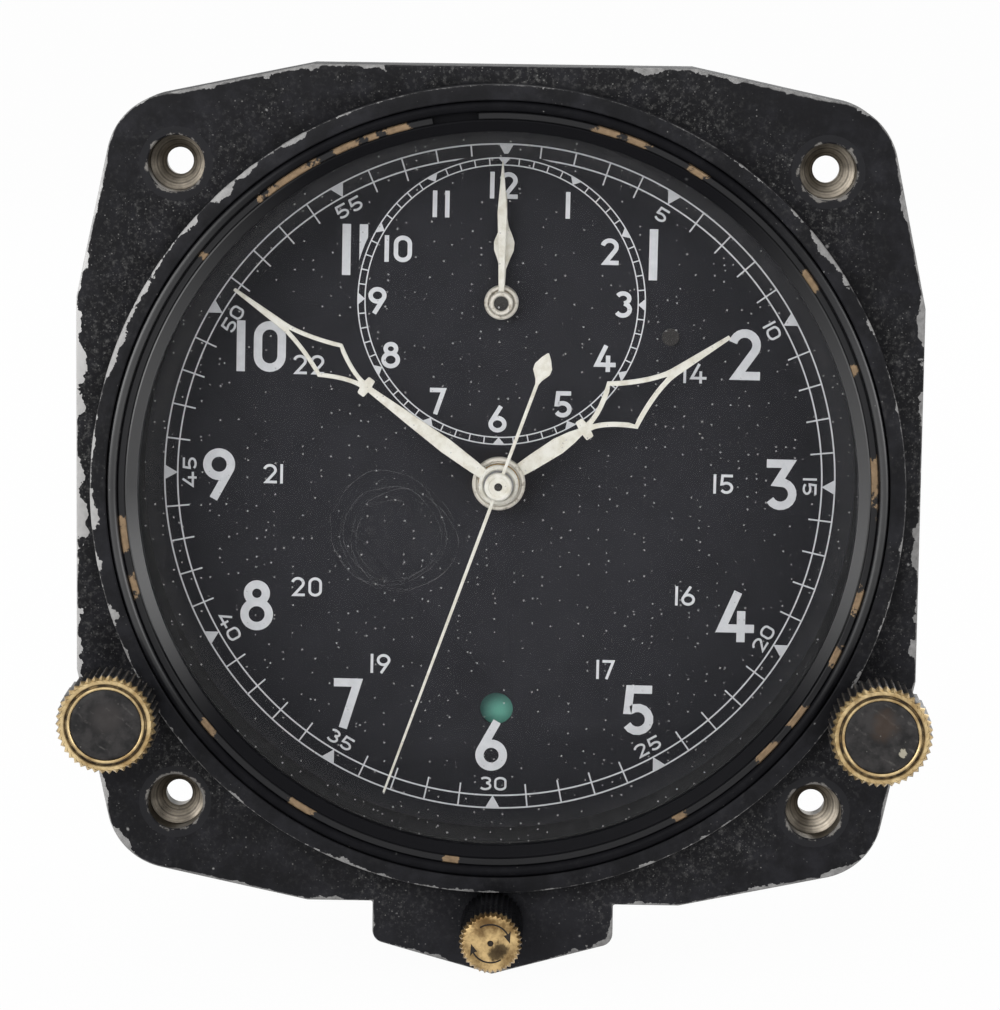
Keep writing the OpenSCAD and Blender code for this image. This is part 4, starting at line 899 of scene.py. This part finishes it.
def disc_black(name, chip_at, stain_at, stain_tone):
    f = Finish(name)
    stroke = abs((f.x * 1.7 + f.y * 2.3 + f.noise(0.4, 3) * 5).sum("SINE"))
    scuff = f.rise(stroke, 0.9, 1) * f.rise(f.noise(0.6, 4, 0.7), 0.5, 0.66)
    brown = f.rise(f.radius(*stain_at) + (f.noise(0.7, 4) - 0.5) * 3, 1.9, 0.6)
    chip = f.rise(f.radius(*chip_at) + (f.noise(2, 4) - 0.5) * 1.1, 0.46, 0.32)
    cloud = f.blend(f.rise(f.noise(0.7, 4), 0.3, 0.7), ink(14, 14, 15), ink(50, 48, 48))
    tone = f.blend(scuff * 0.4, cloud, ink(104, 101, 98))
    tone = f.blend(brown * 0.5, tone, stain_tone)
    tone = f.blend(f.specks(0.8, 0.3, 0.07) * 0.6, tone, ink(120, 118, 114))
    return f.set(Base_Color=f.blend(chip, tone, ink(164, 158, 142)), Roughness=0.5, Specular_IOR_Level=0.25)


# %% [markdown]
# ## Fluted pushers
#
# A pusher's knob is turned brass with flutes cut all round. Handling has worn the front edge bright,
# while a groove in the face has kept its brown tarnish. A black disc is set into the middle. The two
# knobs differ a little in size and wear, so one loop makes both from a short list.

# %% Fluted pushers
FRONT = 17
for side_name, r, chip_at, stain_at, stain_tone in (
        ("left", 4.9, (-60, 0), (-37.4, -21.4), ink(62, 58, 57)),
        ("right", 5, (39.6, -23.7), (37.8, -20.9), ink(72, 58, 48))):
    at, body = PUSHERS[side_name], side_name + "_push"
    disc = r - 1.38
    stalk = [(0, -3.5), (0.4, -3.5), (0.4, -3.1), (1, -3.1), (1, 15), (2.9, 15), (2.9, 11.6)]
    barrel = [(r - 0.25, 11.6), (r, 11.95), (r, 16.5), (r - 0.12, 16.7), (r - 0.4, FRONT)]
    ring = [(r - 0.45, FRONT), (r - 0.82, FRONT - 0.02), (disc + 0.4, FRONT - 0.3)]
    lip = [(disc + 0.34, FRONT - 0.3), (disc + 0.24, FRONT - 0.06), (disc + 0.1, FRONT - 0.04)]
    recess = [(disc, FRONT - 0.12), (disc, 16.4), (0, 16.4)]
    knob = lathe(side_name + "_knob", stalk + barrel + ring + lip + recess, at, steps=84)
    press_flutes(knob, at, 42, r, 0.32)
    smooth(knob, 30)
    f, out, side, tone, tarnish = knob_brass(side_name + " knob brass", at, r, FRONT, 1,
                                             ink(160, 132, 88), ink(222, 198, 150))
    # The flute crests on the dark sides are painted lighter: a painted highlight along their edges.
    crest_highlight = f.rise(out, r - 0.14, r) * f.rise(f.noise(0.9, 4), 0.35, 0.6)
    dark_side = f.blend(crest_highlight * 0.7, ink(24, 24, 26), ink(122, 114, 104))
    brass = f.set(Base_Color=f.blend(side, tone, dark_side), Metallic=(1 - side) * (0.85 - tarnish * 0.5),
                  Roughness=0.36, Specular_IOR_Level=0.5)
    put(knob, body, brass, side_name + "_pusher", slot="brass")
    coin = disc - 0.06
    inlay = lathe(side_name + "_inlay", [(0, 16.42), (coin, 16.42), (coin, 16.8), (disc - 0.2, 16.88),
                  (disc - 0.6, 16.9), (0, 16.9)], at, steps=96)
    smooth(inlay)
    lacquer = disc_black(side_name + " disc black", chip_at, stain_at, stain_tone)
    put(inlay, body, lacquer, side_name + "_pusher_disc", slot="black_disc")

# %% [markdown]
# ## Winding knob
#
# The winding knob is a smaller fluted barrel. Two curved arrows are engraved in its face to show which
# way to wind, and old polish has dried black in the cuts. The arrows are cut with the same ribbon that
# draws the numbers.

# %% Winding knob
R, TOP, ARROW = 3.1, 17, 1.9
socket = [(0, 15.5), (1.1, 15.5), (1.1, 7.4)]
barrel = [(R - 0.4, 7.4), (R, 7.9), (R, 16.62), (R - 0.28, 16.97), (R - 0.36, TOP)]
dimple = [(0.32, TOP), (0.22, TOP - 0.12), (0, TOP - 0.14)]
knob = lathe("winding_barrel", socket + barrel + dimple, STEM, steps=72)
press_flutes(knob, STEM, 36, R, 0.24)
for first in (123, 303):
    curve = bow(*STEM, ARROW, first, first - 96, 16)
    shaft = sheet("shaft", ribbon(curve, 0.17), TOP - 0.07, TOP + 0.2)
    tip, tail = bow(*STEM, ARROW, first - 122, first - 94, 1)
    outer = bow(*STEM, 2.35, first - 90, first - 90, 1)[0]
    inner = bow(*STEM, 1.5, first - 90, first - 90, 1)[0]
    barb = sheet("barb", [[tip, outer, tail, inner]], TOP - 0.07, TOP + 0.2)
    cut(knob, shaft, barb)
smooth(knob, 30)
f, out, side, tone = knob_brass("winding brass", STEM, R, TOP, 0, ink(106, 82, 50), ink(212, 182, 130))[:4]
groove = f.rise(f.z, TOP - 0.02, TOP - 0.05) * f.rise(out, 2.6, 2.5)
stain = f.rise(f.radius(0.7, -43.95) + (f.noise(0.9, 4) - 0.5) * 2.4, 1.1, 0.5)
dents = f.bump(f.noise(0.5, 3) + f.noise(3, 3) * 0.15, 0.6, 0.4)
tone = f.blend((groove + stain * 0.85).sum("MINIMUM", 1), tone, ink(38, 31, 25))
brass = f.set(Base_Color=f.blend(side, tone, black), Metallic=(1 - side) * (0.85 - groove * 0.7),
              Roughness=0.34, Specular_IOR_Level=0.3, Normal=dents)
put(knob, "winder", brass, "winding_knob", slot="brass")

# %% [markdown]
# ## The works inside
#
# The pieces behind the dial keep their exact shapes from the mechanical model. They only need finishes:
# brushed brass for plates and wheels, steel for arbors and springs, black rubber for seals. The flag
# has two green sectors on a dark disc, so that the window shows a change when the disc turns by one
# point of its star.

# %% The works inside
f = Finish("plate brass")
works_brass = f.set(Base_Color=f.blend(f.noise(0.5, 4), ink(176, 142, 84), ink(206, 174, 112)),
                    Metallic=0.9, Roughness=0.35)
f = Finish("plain steel")
steel = f.set(Base_Color=f.blend(f.noise(0.8, 4), ink(128, 128, 130), ink(176, 176, 178)),
              Metallic=0.9, Roughness=0.35)
f = Finish("dark screw")
screw = f.set(Base_Color=f.blend(f.noise(1.5, 4), ink(34, 33, 34), ink(64, 62, 60)),
              Metallic=0.4, Roughness=0.45, Specular_IOR_Level=0.3)
f = Finish("black rubber")
rubber = f.set(Base_Color=f.blend(f.noise(1, 3), ink(20, 20, 21), ink(32, 32, 33)),
               Roughness=0.8, Specular_IOR_Level=0.2)
f = Finish("flag green")
FLAG_X, FLAG_Y, WINDOW_WAY = 4.6, -24.6, math.radians(165.4)
# The green is painted lighter towards the middle of the window: a painted pool of light.
window_light_pool = f.rise(f.radius(0.4, -23.9), 2.2, 0)
way = (f.y - FLAG_Y).sum("ARCTAN2", f.x - FLAG_X)
shown = f.rise(((way - WINDOW_WAY) * 2).sum("COSINE"), 0.12, 0.2)
green = f.blend(window_light_pool, ink(52, 104, 96), ink(96, 166, 148))
flag = f.set(Base_Color=f.blend(shown, ink(30, 30, 32), green), Roughness=0.5)
finishes = {"glass_seal": rubber, "back_seal": rubber, "dial_screw": screw, "back_cover": paint,
            "guide_bushes": screw, "flag_disc": flag, "second_arbor": screw, "trip_arbor": screw}
steels = {"movement_screws", "back_screws", "click", "click_spring", "left_rocker", "right_rocker",
          "rocker_brackets", "left_spring", "right_spring", "winding_stem", "stem_sleeve", "ratchet_wheel",
          "transmission_wheel", "barrel_arbor", "mainspring", "pallet_lever", "hairspring", "cannon_pinion",
          "lock_ring"}
for name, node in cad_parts.items():
    if name != "glass":
        node.data.materials.clear()
        node.data.materials.append(finishes.get(name, steel if name in steels else works_brass))
print("finished", len(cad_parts), "inner pieces")

# %% [markdown]
# ## Springs
#
# Three springs change shape as the clock is used. The coil under each pusher's knob shortens as the
# knob goes in; it is wound here as a real coil, with the screw modifier. The thin blade behind the click
# is pressed back by it; a copy of the plain blade is cut finer.

# %% Springs
COIL_LOW, COIL_HIGH, PUSH = 11.9, 15, 1.6


def coil(name, centre, r, wire, turns):
    points = [(x, 0, z) for x, z in bow(r, COIL_LOW + wire, wire, 0, 330, 11)]
    piece = start(name, points, [(i, (i + 1) % len(points)) for i in range(len(points))])
    bpy.ops.object.mode_set(mode="OBJECT")
    pitch = (COIL_HIGH - COIL_LOW - 2 * wire) / turns
    modify(piece, "SCREW", axis="Y", steps=24, render_steps=24, screw_offset=-pitch * MM, iterations=turns)
    bpy.ops.object.mode_set(mode="EDIT")
    bpy.ops.mesh.select_all(action="SELECT")
    bpy.ops.transform.translate(value=place(*centre, 0))
    bpy.ops.mesh.fill_holes(sides=0)
    close()
    smooth(piece)
    return piece


for side_name, at in PUSHERS.items():
    spring = coil(side_name + "_coil", at, 1.85, 0.17, 4)
    put(spring, "case", steel, side_name + "_spring", slot="steel")
    side_name + "_push"
    tuple(place(*at, COIL_LOW))
    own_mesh(spring)
blade = bpy.data.objects.new("click_blade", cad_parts["click_spring"].data.copy())
bpy.context.scene.collection.objects.link(blade)
pick(blade)
bpy.ops.object.mode_set(mode="EDIT")
bpy.ops.mesh.select_all(action="SELECT")
bpy.ops.mesh.remove_doubles(threshold=1e-7)
bpy.ops.mesh.subdivide(number_cuts=3)
bpy.ops.object.mode_set(mode="OBJECT")
put(blade, None, steel, "click_spring", slot="steel")
tuple(place(-23.33, -14.27, -20.5))
tuple(place(-20.92, -14.7, -20.5))
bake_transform(blade)

# %% [markdown]
# ## Floor
#
# The clock stands on its tab on a white floor. A mix of two shaders keeps the floor white to the camera
# and in reflections, while the plain one lights the clock evenly.

# %% Floor
low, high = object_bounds()
bpy.ops.mesh.primitive_plane_add(size=60, location=(0, 0, low[2] - 0.0001))
floor = bpy.context.object
floor.name = "floor"
f = Finish("floor white")
f.set(Base_Color=(0.9, 0.9, 0.9, 1), Roughness=0.9, Specular_IOR_Level=0.1)
seen = f.node("ShaderNodeLightPath", out="Is Camera Ray")
for other in ("Is Glossy Ray", "Is Transmission Ray"):
    seen = seen.sum("MAXIMUM", f.node("ShaderNodeLightPath", out=other))
white = f.node("ShaderNodeEmission", values={"Color": (1, 1, 1, 1), "Strength": 1.0})
mixed = f.node("ShaderNodeMixShader", values={0: seen * 0.97, 1: Wire(f, f.shader.outputs[0]), 2: white})
f.tree.links.new(mixed.socket, f.tree.nodes["Material Output"].inputs["Surface"])
floor.data.materials.append(f.material)
print("floor laid at", round(low[2] / MM, 2), "mm")

# %% [markdown]
# ## World and lamps
#
# A studio has white walls and large soft lamps. The world stands for the walls: it looks white to the
# camera and in reflections, and is dimmer as a light. Area lamps give broad, soft highlights on the
# knobs and the ring.

# %% World and lamps
world = bpy.data.worlds.new("studio")
bpy.context.scene.world = world
world.use_nodes = True
nodes, links = world.node_tree.nodes, world.node_tree.links
path = nodes.new("ShaderNodeLightPath")
seen = path.outputs["Is Camera Ray"]
for other in ("Is Glossy Ray", "Is Transmission Ray"):
    most = nodes.new("ShaderNodeMath")
    most.operation = "MAXIMUM"
    links.new(seen, most.inputs[0])
    links.new(path.outputs[other], most.inputs[1])
    seen = most.outputs[0]
level = nodes.new("ShaderNodeMapRange")
level.inputs[3].default_value, level.inputs[4].default_value = 0.5, 1
links.new(seen, level.inputs[0])
links.new(level.outputs[0], nodes["Background"].inputs["Strength"])
nodes["Background"].inputs["Color"].default_value = (1, 1, 1, 1)


def lamp(name, spot, watts, size):
    light = bpy.data.lights.new(name, "AREA")
    light.energy, light.size = watts, size
    piece = bpy.data.objects.new(name, light)
    bpy.context.scene.collection.objects.link(piece)
    piece.location = spot
    piece.rotation_euler = (-Vector(spot)).to_track_quat("-Z", "Y").to_euler()


lamp("key", (-0.3, -0.85, 0.45), 2.5, 0.5)
lamp("left", (-0.8, -0.5, 0.1), 5.0, 0.8)
lamp("right", (0.8, -0.5, 0.1), 2.0, 0.5)
lamp("top", (0.0, -0.1, 0.9), 0.8, 0.6)
lamp("back", (0.2, 0.8, 0.5), 2.0, 0.6)
print("lamps ready:", len(bpy.data.lights))

# %% [markdown]
# ## Camera
#
# The camera looks from a little above the clock's middle, through a long lens, so that the case is seen
# almost flat.

# %% Camera
camera = bpy.data.cameras.new("camera")
camera.lens, camera.sensor_width, camera.clip_start = 148.91, 36, 0.01
eye = bpy.data.objects.new("camera", camera)
bpy.context.scene.collection.objects.link(eye)
tilt, pan, roll = math.radians(8.19), math.radians(-0.94), math.radians(-0.72)
stand = Matrix.Translation((0.00691, -0.414, 0.05717)) @ Matrix.Rotation(math.radians(90), 4, "X")
aim = Matrix.Rotation(-pan, 4, "Y") @ Matrix.Rotation(-tilt, 4, "X") @ Matrix.Rotation(-roll, 4, "Z")
eye.matrix_world = stand @ aim
bpy.context.scene.camera = eye
bpy.context.scene.view_settings.view_transform = "Standard"
print("camera ready, with a lens of", round(camera.lens), "mm")

# %% Finish
print("pieces made:", count)
